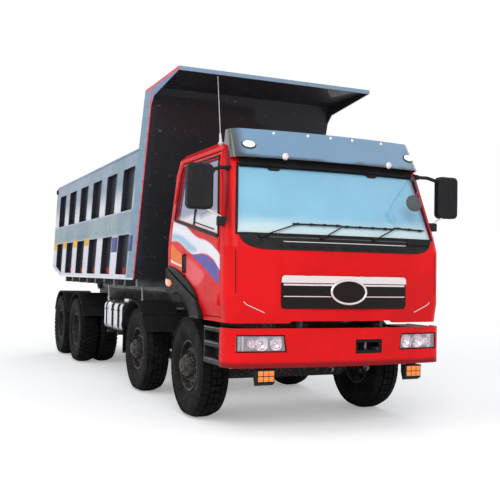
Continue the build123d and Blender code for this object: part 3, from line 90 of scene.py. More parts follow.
for leftover in set(bpy.data.objects) - set(frame["bodies"].values()) - set(frame["nodes"].values()):
    bpy.data.objects.remove(leftover)
CAD_LOW, CAD_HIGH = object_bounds()
SIDES = ((-1, "right"), (1, "left"))
ACROSS = Vector((1, 0, 0))
ALONG = Vector((0, 1, 0))
UP = Vector((0, 0, 1))
AHEAD = -0.3  # the setback where lines towards the truck's front start
BESIDE = 1.7  # how far out lines towards its sides start
FACING = 0.9  # the share of a face's normal that counts as looking that way


def back(setback: float) -> float:
    """Returns the Y of a place that far behind the bumper's face."""
    return CAD_LOW.y + setback


def span(node: str) -> tuple[Vector, Vector, Vector]:
    """Gives a CAD node's lowest corner, its highest corner and its middle."""
    low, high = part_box(node)
    return low, high, (low + high) / 2


def deselect() -> None:
    """Leaves object mode on and nothing selected."""
    if bpy.context.object and bpy.context.object.mode != "OBJECT":
        bpy.ops.object.mode_set(mode="OBJECT")
    bpy.ops.object.select_all(action="DESELECT")


def take(piece: Thing) -> Thing:
    """Selects one piece alone and makes it active.

    Args:
        piece: the piece.

    Returns:
        The piece.
    """
    deselect()
    piece.select_set(True)
    bpy.context.view_layer.objects.active = piece
    return piece


def settled(name: str) -> Thing:
    """Applies the new piece's place, turn and size, and names it.

    Args:
        name: its name.

    Returns:
        The piece.
    """
    bpy.ops.object.transform_apply(location=True, rotation=True, scale=True)
    piece = bpy.context.object
    piece.name = name
    piece.data.name = name
    return piece


def edit(piece: Thing, pick: Callable[[bmesh.types.BMFace], bool] | None = None) -> None:
    """Opens a piece in edit mode with some of its faces selected.

    Args:
        piece: the piece to open.
        pick: says which faces are selected; all of them without it.
    """
    take(piece)
    bpy.ops.object.mode_set(mode="EDIT")
    bpy.ops.mesh.select_mode(type="FACE" if pick else "VERT")
    bpy.ops.mesh.select_all(action="DESELECT" if pick else "SELECT")
    if pick:
        shape = bmesh.from_edit_mesh(piece.data)
        for face in shape.faces:
            face.select_set(pick(face))
        bmesh.update_edit_mesh(piece.data)


def done(piece: Thing) -> Thing:
    """Closes edit mode and returns the piece."""
    bpy.ops.object.mode_set(mode="OBJECT")
    return piece


def mend(piece: Thing) -> Thing:
    """Merges doubled corners and turns the faces outwards.

    Args:
        piece: the piece.

    Returns:
        The piece.
    """
    edit(piece)
    bpy.ops.mesh.remove_doubles(threshold=1e-5)
    bpy.ops.mesh.normals_make_consistent(inside=False)
    return done(piece)


def modify(piece: Thing, kind: str, **settings: object) -> Thing:
    """Adds one modifier and applies it.

    Args:
        piece: the piece that it changes.
        kind: the modifier's type.
        settings: the modifier's own settings.

    Returns:
        The piece.
    """
    take(piece)
    modifier = piece.modifiers.new(kind, kind)
    for key, value in settings.items():
        setattr(modifier, key, value)
    bpy.ops.object.modifier_apply(modifier=modifier.name)
    return piece


def smooth(piece: Thing, degrees: float = 35) -> Thing:
    """Shades the faces smooth where they meet at a small angle.

    Args:
        piece: the piece.
        degrees: the largest such angle.

    Returns:
        The piece.
    """
    take(piece)
    bpy.ops.object.shade_smooth_by_angle(angle=math.radians(degrees))
    return piece


def soften(piece: Thing, width: float, segments: int = 2, degrees: float = 30) -> Thing:
    """Rounds a piece's sharp edges.

    Args:
        piece: the piece whose edges are rounded.
        width: how wide the rounding is.
        segments: how many facets it has.
        degrees: how sharp an edge has to be.

    Returns:
        The piece.
    """
    limit = math.radians(degrees)
    modify(piece, "BEVEL", width=width, segments=segments, angle_limit=limit, harden_normals=False)
    return smooth(piece)


def block(name: str, low: Place, high: Place, bevel: float = 0.004, segments: int = 2) -> Thing:
    """Makes a box with rounded edges.

    Args:
        name: the piece's name.
        low: its lowest corner.
        high: its highest corner.
        bevel: how wide its edges' rounding is.
        segments: how many facets the rounding has.

    Returns:
        The new piece.
    """
    deselect()
    low, high = Vector(low), Vector(high)
    bpy.ops.mesh.primitive_cube_add(size=1, location=(low + high) / 2, scale=high - low)
    return soften(settled(name), bevel, segments)


def drum(name: str, start: Place, end: Place, radius: float, sides: int = 20, tip: float | None = None,
         bevel: float = 0.002) -> Thing:
    """Makes a round bar, or a tapered one.

    Args:
        name: the piece's name.
        start: the middle of its first end.
        end: the middle of its other end.
        radius: its radius at the first end.
        sides: how many sides it has.
        tip: its radius at the other end, if that differs.
        bevel: how wide its rims' rounding is.

    Returns:
        The new piece.
    """
    deselect()
    run = Vector(end) - Vector(start)
    bpy.ops.mesh.primitive_cone_add(
        vertices=sides, radius1=radius, radius2=radius if tip is None else tip, depth=run.length,
        location=Vector(start) + run / 2, rotation=run.to_track_quat("Z", "Y").to_euler(),
    )
    return soften(settled(name), bevel, 2, 40)


def chain(name: str, points: Iterable[Place]) -> Thing:
    """Draws a run of edges by extruding one corner from point to point.

    Args:
        name: the piece's name.
        points: the places that it joins.

    Returns:
        The new piece, left in edit mode with all selected.
    """
    deselect()
    here, *others = [Vector(point) for point in points]
    bpy.ops.mesh.primitive_plane_add(size=0.01, location=here)
    piece = settled(name)
    bpy.ops.object.mode_set(mode="EDIT")
    bpy.ops.mesh.select_mode(type="VERT")
    bpy.ops.mesh.select_all(action="SELECT")
    bpy.ops.mesh.merge(type="CENTER")
    for point in others:
        bpy.ops.mesh.extrude_vertices_move(TRANSFORM_OT_translate={"value": point - here})
        here = point
    bpy.ops.mesh.select_all(action="SELECT")
    return piece


def plate(name: str, outline: Iterable[Place], push: Place, bevel: float = 0.002) -> Thing:
    """Makes a flat piece from its outline.

    Args:
        name: the piece's name.
        outline: the corners of one face, in order.
        push: the way from that face to the other.
        bevel: how wide its edges' rounding is.

    Returns:
        The new piece.
    """
    piece = chain(name, outline)
    bpy.ops.mesh.edge_face_add()
    bpy.ops.mesh.extrude_region_move(TRANSFORM_OT_translate={"value": Vector(push)})
    bpy.ops.mesh.select_all(action="SELECT")
    bpy.ops.mesh.normals_make_consistent(inside=False)
    done(piece)
    return soften(piece, bevel) if bevel else smooth(piece)


def spun(name: str, profile: Iterable[Pair], centre: Place, axis: Vector, steps: int = 40) -> Thing:
    """Turns a profile about an axis.

    Args:
        name: the piece's name.
        profile: distances along the axis from the centre, and from the axis.
        centre: a point on the axis.
        axis: which way the axis runs.
        steps: how many steps the turn has.

    Returns:
        The new piece.
    """
    centre, axis = Vector(centre), Vector(axis).normalized()
    out = axis.orthogonal().normalized()
    piece = chain(name, [centre + axis * along + out * radius for along, radius in profile])
    bpy.ops.mesh.spin(steps=steps, angle=math.tau, center=centre, axis=axis)
    done(piece)
    return smooth(mend(piece))


def pipe(name: str, points: Iterable[Place], radius: float, closed: bool = False, facets: int = 2) -> Thing:
    """Makes a round bar or a seal that follows a path.

    Args:
        name: the piece's name.
        points: the path's places.
        radius: the bar's radius.
        closed: whether the path ends where it starts.
        facets: how finely each quarter of the bar is rounded.

    Returns:
        The new piece.
    """
    piece = chain(name, points)
    if closed:
        bpy.ops.mesh.select_mode(type="VERT")
        shape = bmesh.from_edit_mesh(piece.data)
        for vert in shape.verts:
            vert.select_set(len(vert.link_edges) == 1)
        shape.select_flush_mode()
        bmesh.update_edit_mesh(piece.data)
        bpy.ops.mesh.edge_face_add()
    done(piece)
    bpy.ops.object.convert(target="CURVE")
    piece.data.bevel_depth = radius
    piece.data.bevel_resolution = facets
    piece.data.use_fill_caps = True
    bpy.ops.object.convert(target="MESH")
    return smooth(mend(bpy.context.object), 60)


def copy_of(piece: Thing, name: str, move: Matrix | Place) -> Thing:
    """Copies a piece, with its own mesh, to another place.

    Args:
        piece: the piece that is copied.
        name: the copy's name.
        move: how far it moves, or the whole movement as a matrix.

    Returns:
        The copy.
    """
    twin = piece.copy()
    twin.data = piece.data.copy()
    twin.name = twin.data.name = name
    bpy.context.scene.collection.objects.link(twin)
    movement = move if isinstance(move, Matrix) else Matrix.Translation(Vector(move))
    twin.data.transform(movement)
    if movement.determinant() < 0:
        twin.data.flip_normals()
    return twin


def joined(name: str, pieces: Sequence[Thing]) -> Thing:
    """Joins pieces into the first of them.

    Args:
        name: the new name.
        pieces: the pieces.

    Returns:
        The joined piece.
    """
    first = take(pieces[0])
    for piece in pieces:
        piece.select_set(True)
    if len(pieces) > 1:
        bpy.ops.object.join()
    first.name = first.data.name = name
    return first


def scattered(name: str, piece: Thing, places: Iterable[Matrix | Place]) -> Thing:
    """Copies a piece to each place and joins the copies; the first piece goes.

    Args:
        name: the copies' name.
        piece: the piece.
        places: how far each copy moves, or its whole movement.

    Returns:
        The joined copies.
    """
    copies = [copy_of(piece, name, place) for place in places]
    bpy.data.objects.remove(piece)
    return joined(name, copies)


def around(centre: Place, axis: Vector, count: int, start: float = 0) -> list[Matrix]:
    """Works out the movements that carry a piece round an axis.

    Args:
        centre: a point on the axis.
        axis: which way the axis runs.
        count: how many copies there are.
        start: the first one's angle, in degrees.

    Returns:
        One movement for each copy.
    """
    there, home = Matrix.Translation(Vector(centre)), Matrix.Translation(-Vector(centre))
    turns = (math.radians(start + 360 * step / count) for step in range(count))
    return [there @ Matrix.Rotation(turn, 4, axis) @ home for turn in turns]


class Surface:
    """The outside of one or more CAD nodes, for pieces that lie on it."""

    def __init__(self, *nodes: str) -> None:
        """Reads the meshes of the CAD nodes of those names."""
        graph = bpy.context.evaluated_depsgraph_get()
        self.trees = [BVHTree.FromObject(frame["nodes"][node], graph) for node in nodes]

    def touch(self, start: Place, way: Vector, lift: float = 0) -> Vector | None:
        """Finds where a line from outside first meets the surface.

        Args:
            start: where the line starts.
            way: which way it runs.
            lift: how far the result stands off, back along the line.

        Returns:
            The place, or None where the line meets nothing.
        """
        hits = [tree.ray_cast(Vector(start), way) for tree in self.trees]
        found = sorted((distance, place) for place, _, _, distance in hits if place)
        return found[0][1] - way.normalized() * lift if found else None

    def trail(self, corners: Sequence[Place], way: Vector, spacing: float = 0.06, lift: float = 0.0) -> list[Vector]:
        """Lays a path on the surface.

        Args:
            corners: the path's corners, outside the surface.
            way: which way the path is pressed on.
            spacing: the distance between its points.
            lift: how far it stands off.

        Returns:
            The points where it meets the surface.
        """
        points = []
        for start, end in zip(corners, corners[1:]):
            run = Vector(end) - Vector(start)
            count = max(1, round(run.length / spacing))
            points += [Vector(start) + run * step / count for step in range(count)]
        points.append(Vector(corners[-1]))
        found = [self.touch(point, way, lift) for point in points]
        return [place for place in found if place]


def laid(name: str, outline: Sequence[Place], way: Vector, onto: str, thick: float = 0.004, lift: float = 0.0,
         spacing: float = 0.09, bevel: float = 0.0015) -> Thing:
    """Lays a thin panel on a CAD node's surface, so that it follows the surface's bends.

    Args:
        name: the panel's name.
        outline: its corners, in order, outside the surface.
        way: which way it is pressed on, along X or Y.
        onto: the CAD node's name.
        thick: the panel's thickness.
        lift: how far its back stands off the surface.
        spacing: how far apart its bends may be.
        bevel: how wide its edges' rounding is.

    Returns:
        The new piece.
    """
    piece = chain(name, outline)
    bpy.ops.mesh.edge_face_add()
    corners = [Vector(corner) for corner in outline]
    for axis in (ACROSS, ALONG, UP):
        if abs(axis.dot(way)) > 0.5:
            continue
        reach = sorted(axis.dot(corner) for corner in corners)
        count = max(1, math.ceil((reach[-1] - reach[0]) / spacing))
        for step in range(1, count):
            bpy.ops.mesh.select_all(action="SELECT")
            level = reach[0] + (reach[-1] - reach[0]) * step / count
            bpy.ops.mesh.bisect(plane_co=axis * level, plane_no=axis)
    done(piece)
    modify(piece, "SHRINKWRAP", target=frame["nodes"][onto], wrap_method="PROJECT", use_project_x=abs(way.x) > 0.5,
           use_project_y=abs(way.y) > 0.5, use_positive_direction=sum(way) > 0, use_negative_direction=sum(way) < 0)
    edit(piece)
    bpy.ops.mesh.normals_make_consistent(inside=False)
    done(piece)
    if sum(face.normal.dot(way) for face in piece.data.polygons) > 0:
        piece.data.flip_normals()
    for vert in piece.data.vertices:
        vert.co -= way * lift
    modify(piece, "SOLIDIFY", thickness=thick, offset=1)
    return soften(piece, bevel, 1) if bevel else smooth(piece)


def front_rows(rows: Iterable[Pair], mirror: bool = False) -> list[Vector]:
    """Turns X and Z pairs into places ahead of the bumper; with mirror, the other side's follow in reverse."""
    points = [Vector((x, back(AHEAD), z)) for x, z in rows]
    return points + [Vector((-place.x, place.y, place.z)) for place in reversed(points)] if mirror else points


def side_rows(side: int, rows: Iterable[Pair]) -> list[Vector]:
    """Turns setback and height pairs into places beside the truck, on that side."""
    return [Vector((side * BESIDE, back(setback), z)) for setback, z in rows]


def oval(middle: Pair, half: Pair, steps: int = 28) -> list[Pair]:
    """Returns an ellipse's places, as pairs, around its middle."""
    turns = (math.tau * step / steps for step in range(steps))
    return [(middle[0] + half[0] * math.cos(turn), middle[1] + half[1] * math.sin(turn)) for turn in turns]


def oblong(low: Pair, high: Pair) -> list[Pair]:
    """Returns the four corners of an oblong from its lowest pair to its highest one, in order."""
    return [low, (high[0], low[1]), high, (low[0], high[1])]


def rounded(low: Pair, high: Pair, corner: float, steps: int = 4) -> list[Pair]:
    """Returns a rectangle's outline with rounded corners.

    Args:
        low: its lowest pair.
        high: its highest pair.
        corner: the corners' radius.
        steps: how many steps each corner has.

    Returns:
        The outline's pairs, in order.
    """
    places = []
    for turn, (across, up) in enumerate(((high[0], high[1]), (low[0], high[1]), (low[0], low[1]), (high[0], low[1]))):
        middle = (across - corner * (1 if turn in (0, 3) else -1), up - corner * (1 if turn in (0, 1) else -1))
        for step in range(steps + 1):
            angle = math.pi / 2 * (turn + step / steps)
            places.append((middle[0] + corner * math.cos(angle), middle[1] + corner * math.sin(angle)))
    return places
class Wiring:
    """A tree of nodes, wired by short calls."""

    def __init__(self, tree: bpy.types.NodeTree) -> None:
        """Takes the tree that it wires."""
        self.tree = tree

    def node(self, kind: str, links: dict | None = None, **settings: object) -> bpy.types.Node:
        """Adds a node.

        Args:
            kind: the node's type.
            links: for each input, by number or name, a socket to link or a value to set.
            settings: the node's own settings.

        Returns:
            The new node.
        """
        made = self.tree.nodes.new(kind)
        for key, value in settings.items():
            setattr(made, key, value)
        for key, value in (links or {}).items():
            if isinstance(value, Socket):
                self.tree.links.new(value, made.inputs[key])
            else:
                made.inputs[key].default_value = value
        return made

    def math(self, operation: str, *values: object) -> Socket:
        """Returns a Math node's result; values are sockets or numbers."""
        return self.node("ShaderNodeMath", dict(enumerate(values)), operation=operation).outputs[0]


class Recipe(Wiring):
    """One material's nodes; patterns are placed in the truck's own metres."""

    def __init__(self, name: str) -> None:
        """Starts a material.

        Args:
            name: the material's name.
        """
        self.material = bpy.data.materials.new(name)
        self.material.use_nodes = True
        super().__init__(self.material.node_tree)
        self.shader = self.tree.nodes["Principled BSDF"]
        self.place = self.node("ShaderNodeTexCoord").outputs["Object"]
        self.split = self.node("ShaderNodeSeparateXYZ", {0: self.place})

    def axis(self, letter: str) -> Socket:
        """Returns one coordinate, X, Y or Z, as a socket."""
        return self.split.outputs[letter]

    def times(self, first: object, *others: object) -> Socket:
        """Multiplies values or sockets together, in order.

        Args:
            first: the first of them.
            others: what it is multiplied by.

        Returns:
            The product's socket.
        """
        for other in others:
            first = self.math("MULTIPLY", first, other)
        return first

    def noise(self, scale: float, detail: float = 4, stretch: Place = (1, 1, 1)) -> Socket:
        """Adds clouds, so many to a metre, with finer layers and a stretch along each axis."""
        place = self.node("ShaderNodeMapping", {0: self.place, "Scale": stretch}).outputs[0]
        return self.node("ShaderNodeTexNoise", {"Vector": place, "Scale": scale, "Detail": detail}).outputs[0]

    def range(self, value: object, low: float, high: float, start: float = 0, end: float = 1) -> Socket:
        """Turns values from low to high into values from start to end, and holds them beyond."""
        links = {"Value": value, "From Min": low, "From Max": high, "To Min": start, "To Max": end}
        return self.node("ShaderNodeMapRange", links, interpolation_type="SMOOTHSTEP").outputs[0]

    def curve(self, value: object, rows: Sequence[Pair], low: float, high: float) -> Socket:
        """Reads a smooth line at a value.

        Args:
            value: the socket that is read.
            rows: values with the line's results at them, in order.
            low: the least result that the line can give.
            high: the greatest.

        Returns:
            The line's result there.
        """
        first, last = rows[0][0], rows[-1][0]
        share = self.math("DIVIDE", self.math("SUBTRACT", value, first), last - first)
        node = self.node("ShaderNodeFloatCurve", {"Value": share})
        points = node.mapping.curves[0].points
        for number, (place, result) in enumerate(rows):
            spot = ((place - first) / (last - first), (result - low) / (high - low))
            if number < 2:
                points[number].location = spot
            else:
                points.new(*spot)
        node.mapping.update()
        return self.math("ADD", self.math("MULTIPLY", node.outputs[0], high - low), low)

    def mix(self, share: object, first: object, second: object) -> Socket:
        """Mixes two colours or sockets; share is the second one's."""
        links = {"Factor": share, 6: whole(first), 7: whole(second)}
        return self.node("ShaderNodeMix", links, data_type="RGBA").outputs[2]

    def use(self, **inputs: object) -> None:
        """Sets or links the shader's inputs.

        Args:
            inputs: a value or a socket for each; an underscore in a name stands for a space.
        """
        for key, value in inputs.items():
            socket = self.shader.inputs[key.replace("_", " ")]
            if isinstance(value, Socket):
                self.tree.links.new(value, socket)
            else:
                socket.default_value = whole(value)

    def bump(self, height: object, depth: float, strength: float = 1) -> None:
        """Gives the surface a relief of that depth in metres."""
        links = {"Height": height, "Distance": depth, "Strength": strength}
        self.use(Normal=self.node("ShaderNodeBump", links).outputs[0])


def whole(value: object) -> object:
    """Returns a colour with its alpha, and anything else as it is."""
    return (*value, 1.0) if isinstance(value, tuple) and len(value) == 3 else value


@dataclass(frozen=True)
class Finish:
    """What every finish has: its material's name and its colour."""

    name: str
    colour: Colour


@dataclass(frozen=True)
class Paint(Finish):
    """Sprayed paint: slightly uneven, dusty towards its foot, and worn through in small chips."""

    dust: Colour = (0.30, 0.26, 0.22)
    foot: float = 0.9  # the height below which dust gathers
    rough: float = 0.32
    coat: float = 0.6
    chips: float = 0.0  # how much of it is chipped, from 0 to 1

    def base(self, recipe: Recipe) -> Socket:
        """Returns the paint's own colour before dust and chips, as a socket."""
        deep = tuple(part * 0.82 for part in self.colour)
        return recipe.mix(recipe.range(recipe.noise(1.7, 3), 0.3, 0.7), self.colour, deep)

    def make(self) -> bpy.types.Material:
        """Builds the material.

        Returns:
            The material.
        """
        recipe = Recipe(self.name)
        colour = self.base(recipe)
        low = recipe.range(recipe.axis("Z"), self.foot, self.foot - 0.5)
        speckle = recipe.range(recipe.noise(38, 6), 0.45, 0.75, 0.15, 1.0)
        colour = recipe.mix(recipe.times(low, speckle, 0.45), colour, self.dust)
        if self.chips:
            worn = recipe.range(recipe.noise(24, 8), 0.66 - 0.08 * self.chips, 0.70)
            colour = recipe.mix(recipe.times(worn, 0.7), colour, (0.16, 0.12, 0.10))
        rough = recipe.range(recipe.noise(9, 5), 0.3, 0.7, self.rough, self.rough + 0.14)
        recipe.use(Base_Color=colour, Roughness=rough, Coat_Weight=self.coat, Coat_Roughness=0.06,
                   Specular_IOR_Level=0.14)
        recipe.bump(recipe.noise(260, 2), 0.0004, 0.35)
        return recipe.material


def tone(red: int, green: int, blue: int) -> Colour:
    """Returns the shader's colour for a colour as a screen shows it, each part from 0 to 255."""
    parts = (part / 255 for part in (red, green, blue))
    return tuple(part / 12.92 if part <= 0.04045 else ((part + 0.055) / 1.055) ** 2.4 for part in parts)


@dataclass(frozen=True)
class CabPaint(Paint):
    """The cab's paint outside, with painted shade along the bumper's foot and down the windscreen pillars, and plain
    grey trim on its walls inside.
    """

    # The cab's height and half width
    halves: tuple = ((1.06, 1.190), (1.25, 1.212), (1.78, 1.220), (1.93, 1.212), (2.62, 1.135), (2.79, 1.095),
                     (2.86, 1.020))
    # Its height and its front's setback
    fronts: tuple = ((1.06, 0.048), (1.25, 0.038), (1.78, 0.052), (1.93, 0.095), (2.62, 0.335), (2.79, 0.410),
                     (2.86, 0.520))
    bow: float = 0.075  # how far its front curves back at the corners
    trim: Colour = (0.060, 0.064, 0.070)

    def base(self, recipe: Recipe) -> Socket:
        """Lays the trim inside the cab, and painted shade along the bumper's foot and down the windscreen pillars over
        the outside's colour.

        Args:
            recipe: the material's nodes.

        Returns:
            The colour's socket.
        """
        out, along, high = recipe.math("ABSOLUTE", recipe.axis("X")), recipe.axis("Y"), recipe.axis("Z")
        bowed = recipe.times(recipe.math("POWER", out, 2), self.bow / 1.13)
        ahead = recipe.math("SUBTRACT", recipe.math("SUBTRACT", along, bowed),
                            recipe.curve(high, self.fronts, 0.0, 1.0))
        beside = recipe.math("SUBTRACT", recipe.curve(high, self.halves, 0.5, 1.5), out)
        walls = recipe.times(recipe.range(ahead, back(0.043), back(0.047)), recipe.range(beside, 0.043, 0.047),
                             recipe.range(high, 2.830, 2.826), recipe.range(along, back(1.850), back(1.846)))
        lug = recipe.times(recipe.range(out, 0.500, 0.496), recipe.range(high, 1.082, 1.079),
                           recipe.range(along, back(0.070), back(0.074)))
        pocket = recipe.times(recipe.range(along, back(0.022), back(0.024)), recipe.range(high, 0.930, 0.926),
                              recipe.range(out, 0.420, 0.416))
        inside = recipe.math("MAXIMUM", recipe.math("MAXIMUM", walls, lug), pocket)
        colour = recipe.mix(inside, self.outside_colour(recipe), self.trim)
        # Painted shade: a dark red band along the bumper's foot and a dark strip down each windscreen pillar
        hem_shade = recipe.times(recipe.range(high, 0.712, 0.672), 0.8)
        pillar_shade = recipe.times(recipe.range(beside, 0.0, 0.030), recipe.range(beside, 0.075, 0.045),
                              recipe.range(high, 1.90, 2.05, 0.0, 0.75), recipe.range(ahead, 0.14, 0.10))
        return recipe.mix(recipe.math("MAXIMUM", hem_shade, pillar_shade), colour, tone(96, 10, 20))

    def outside_colour(self, recipe: Recipe) -> Socket:
        """Returns the outside's colour, as a socket."""
        return Paint.base(self, recipe)


@dataclass(frozen=True)
class DoorPaint(CabPaint):
    """The cab's paint with sweeping bands over the doors: stripes and a painted pink highlight."""

    # Upper edge and lower edge as setback and height, the edges' softness and the colour
    bands: tuple = (
        # The first band is a painted pink highlight ahead of the door's pull; the others are the door's stripes
        (((0.74, 1.53), (0.97, 1.61), (1.28, 1.70)), ((0.74, 1.49), (0.96, 1.40), (1.28, 1.50)), 0.03,
         tone(240, 96, 104)),
        (((0.30, 1.69), (0.45, 1.77), (0.69, 1.845), (0.94, 1.885), (1.20, 1.967), (1.48, 2.064), (1.80, 2.11)),
         ((0.30, 1.54), (0.36, 1.585), (0.54, 1.68), (0.78, 1.722), (1.03, 1.712), (1.30, 1.786), (1.53, 1.86),
          (1.80, 1.875)),
         0.012, tone(244, 242, 248)),
        (((0.95, 1.77), (1.20, 1.85), (1.50, 1.93), (1.80, 1.96)),
         ((0.95, 1.74), (1.20, 1.76), (1.50, 1.86), (1.80, 1.88)),
         0.03, tone(168, 204, 228)),
        (((0.34, 1.57), (0.54, 1.662), (0.73, 1.706), (0.90, 1.716), (1.10, 1.708)),
         ((0.34, 1.41), (0.43, 1.45), (0.67, 1.55), (0.82, 1.609), (1.10, 1.70)), 0.006, tone(96, 88, 168)),
        (((1.33, 1.70), (1.45, 1.735), (1.58, 1.774), (1.80, 1.85)), ((1.33, 1.60), (1.56, 1.625), (1.80, 1.65)), 0.006,
         tone(244, 120, 30)),
        (((1.33, 1.60), (1.56, 1.625), (1.80, 1.668)), ((1.33, 1.578), (1.56, 1.603), (1.80, 1.640)), 0.006,
         tone(250, 240, 240)),
        (((1.33, 1.575), (1.56, 1.60), (1.80, 1.636)), ((1.33, 1.528), (1.56, 1.556), (1.80, 1.60)), 0.02,
         tone(240, 92, 70)),
    )
    low: float = 1.0  # the least height that an edge has
    high: float = 2.2

    def outside_colour(self, recipe: Recipe) -> Socket:
        """Lays the bands over the red: the stripes and a painted highlight.

        Args:
            recipe: the material's nodes.

        Returns:
            The colour's socket.
        """
        colour = Paint.base(self, recipe)
        setback = recipe.math("SUBTRACT", recipe.axis("Y"), back(0.0))
        for upper, lower, edge, paint in self.bands:
            below = recipe.math("SUBTRACT", recipe.curve(setback, upper, self.low, self.high), recipe.axis("Z"))
            above = recipe.math("SUBTRACT", recipe.axis("Z"), recipe.curve(setback, lower, self.low, self.high))
            start, end = upper[0][0], upper[-1][0]
            band = recipe.times(recipe.range(below, -edge, edge), recipe.range(above, -edge, edge),
                                recipe.range(setback, start - 0.004, start + 0.004),
                                recipe.range(setback, end + 0.004, end - 0.004))
            colour = recipe.mix(band, colour, paint)
        return colour


@dataclass(frozen=True)
class BodyPaint(Paint):
    """The tipping body's paint: steel grey rails, ribs whitened as a painted highlight, bays near-black and a charcoal
    front wall as painted shade, and steel blue on the canopy's upward faces as painted light.
    """

    half: float = 1.235
    foot_front: float = 3.24  # the front wall's setback at the floor
    floor: float = 1.43
    rake: float = 0.285  # how far it leans forward for each metre up
    post: float = 0.34  # the front post's depth

    def base(self, recipe: Recipe) -> Socket:
        """Lays the zones' colours over each other.

        Args:
            recipe: the material's nodes.

        Returns:
            The colour's socket.
        """
        out = recipe.math("ABSOLUTE", recipe.axis("X"))
        high, along = recipe.axis("Z"), recipe.axis("Y")
        lean = recipe.times(recipe.math("SUBTRACT", high, self.floor), self.rake)
        depth = recipe.math("ADD", recipe.math("SUBTRACT", along, back(self.foot_front)), lean)
        skin = recipe.range(out, self.half - 0.004, self.half - 0.002)
        recess = recipe.times(recipe.range(out, 1.160, 1.162), recipe.math("SUBTRACT", 1.0, skin))
        rail = recipe.mix(recipe.range(high, 2.0, 3.0), tone(148, 170, 174), tone(150, 166, 186))
        rail = recipe.mix(recipe.range(recipe.noise(1.1, 2), 0.35, 0.65), rail, tone(128, 152, 168))
        # Painted highlight: the ribs between the bays are whitened
        rib = tone(228, 230, 238)
        lower = recipe.times(recipe.range(high, 2.06, 1.96), recipe.range(high, 1.40, 1.47, 0.6, 1.0))
        upper = recipe.times(recipe.range(high, 2.31, 2.36), recipe.range(high, 2.75, 2.42))
        rail = recipe.mix(recipe.math("MAXIMUM", lower, upper), rail, rib)
        rail = recipe.mix(recipe.range(depth, self.post + 0.16, self.post - 0.04), rail, tone(112, 148, 172))
        rail = recipe.mix(recipe.range(depth, 0.052, 0.044), rail, tone(226, 60, 72))
        crest = recipe.times(recipe.range(depth, 0.0, -0.01), recipe.range(high, 3.62, 3.63))
        rail = recipe.mix(crest, rail, tone(104, 134, 176))
        ridge = recipe.times(recipe.range(depth, 0.34, 0.33), recipe.range(high, 3.770, 3.778))
        rail = recipe.mix(ridge, rail, tone(232, 70, 84))
        inner = recipe.mix(recipe.range(recipe.noise(3.1, 6), 0.35, 0.68), tone(104, 112, 116), tone(74, 72, 70))
        # Painted shade: the front wall, facing the cab, and the canopy's underside are charcoal
        inner = recipe.mix(recipe.range(depth, 0.05, 0.03), inner, tone(40, 44, 49))
        # Painted light: the canopy's upward faces are lit steel blue, set by which way each face looks
        face = recipe.node("ShaderNodeSeparateXYZ", {0: recipe.place.node.outputs["Normal"]}).outputs["Z"]
        canopy = recipe.range(depth, 0.0, -0.02)
        top = recipe.times(canopy, recipe.range(face, -0.1, 0.1))
        inner = recipe.mix(top, inner, tone(124, 152, 176))
        # Painted shade: the bays' back walls, recessed between the ribs, are near-black
        colour = recipe.mix(recess, inner, tone(46, 49, 56))
        colour = recipe.mix(recipe.range(along, back(1.60) + 0.012, back(1.60) + 0.004), colour, tone(134, 162, 184))
        return recipe.mix(skin, colour, rail)


@dataclass(frozen=True)
class Metal(Finish):
    """Bare or plated metal with fine scratches and smears."""

    rough: float = 0.2
    grain: float = 0.3  # how strongly it is scratched
    stretch: Place = (1, 1, 1)  # the scratches' scale along each axis
    grime: float = 0.2  # the share of dark grime on it

    def make(self) -> bpy.types.Material:
        """Builds the material.

        Returns:
            The material.
        """
        recipe = Recipe(self.name)
        smear = recipe.range(recipe.noise(6, 6), 0.5, 0.75)
        dull = tuple(part * 0.35 for part in self.colour)
        colour = recipe.mix(recipe.times(smear, self.grime * 2), self.colour, dull)
        scratch = recipe.noise(60, 4, self.stretch)
        rough = recipe.range(scratch, 0.3, 0.7, self.rough, self.rough + 0.25 * self.grain)
        recipe.use(Base_Color=colour, Metallic=1.0, Roughness=rough)
        recipe.bump(scratch, 0.0006, self.grain)
        return recipe.material


@dataclass(frozen=True)
class Moulded(Finish):
    """Rubber or moulded plastic with a fine grain and a little dust."""

    rough: float = 0.55
    grain: float = 500  # how many grains there are to a metre
    depth: float = 0.0006
    dust: float = 0.1  # the share of dust on it

    def make(self) -> bpy.types.Material:
        """Builds the material.

        Returns:
            The material.
        """
        recipe = Recipe(self.name)
        settled_dust = recipe.times(recipe.range(recipe.noise(5, 7), 0.45, 0.75), self.dust)
        colour = recipe.mix(settled_dust, self.colour, tone(120, 112, 102))
        grain = recipe.noise(self.grain, 2)
        rough = recipe.range(recipe.noise(14, 4), 0.3, 0.7, self.rough - 0.06, self.rough + 0.1)
        recipe.use(Base_Color=colour, Roughness=rough, Specular_IOR_Level=0.16)
        recipe.bump(grain, self.depth, 0.5)
        return recipe.material


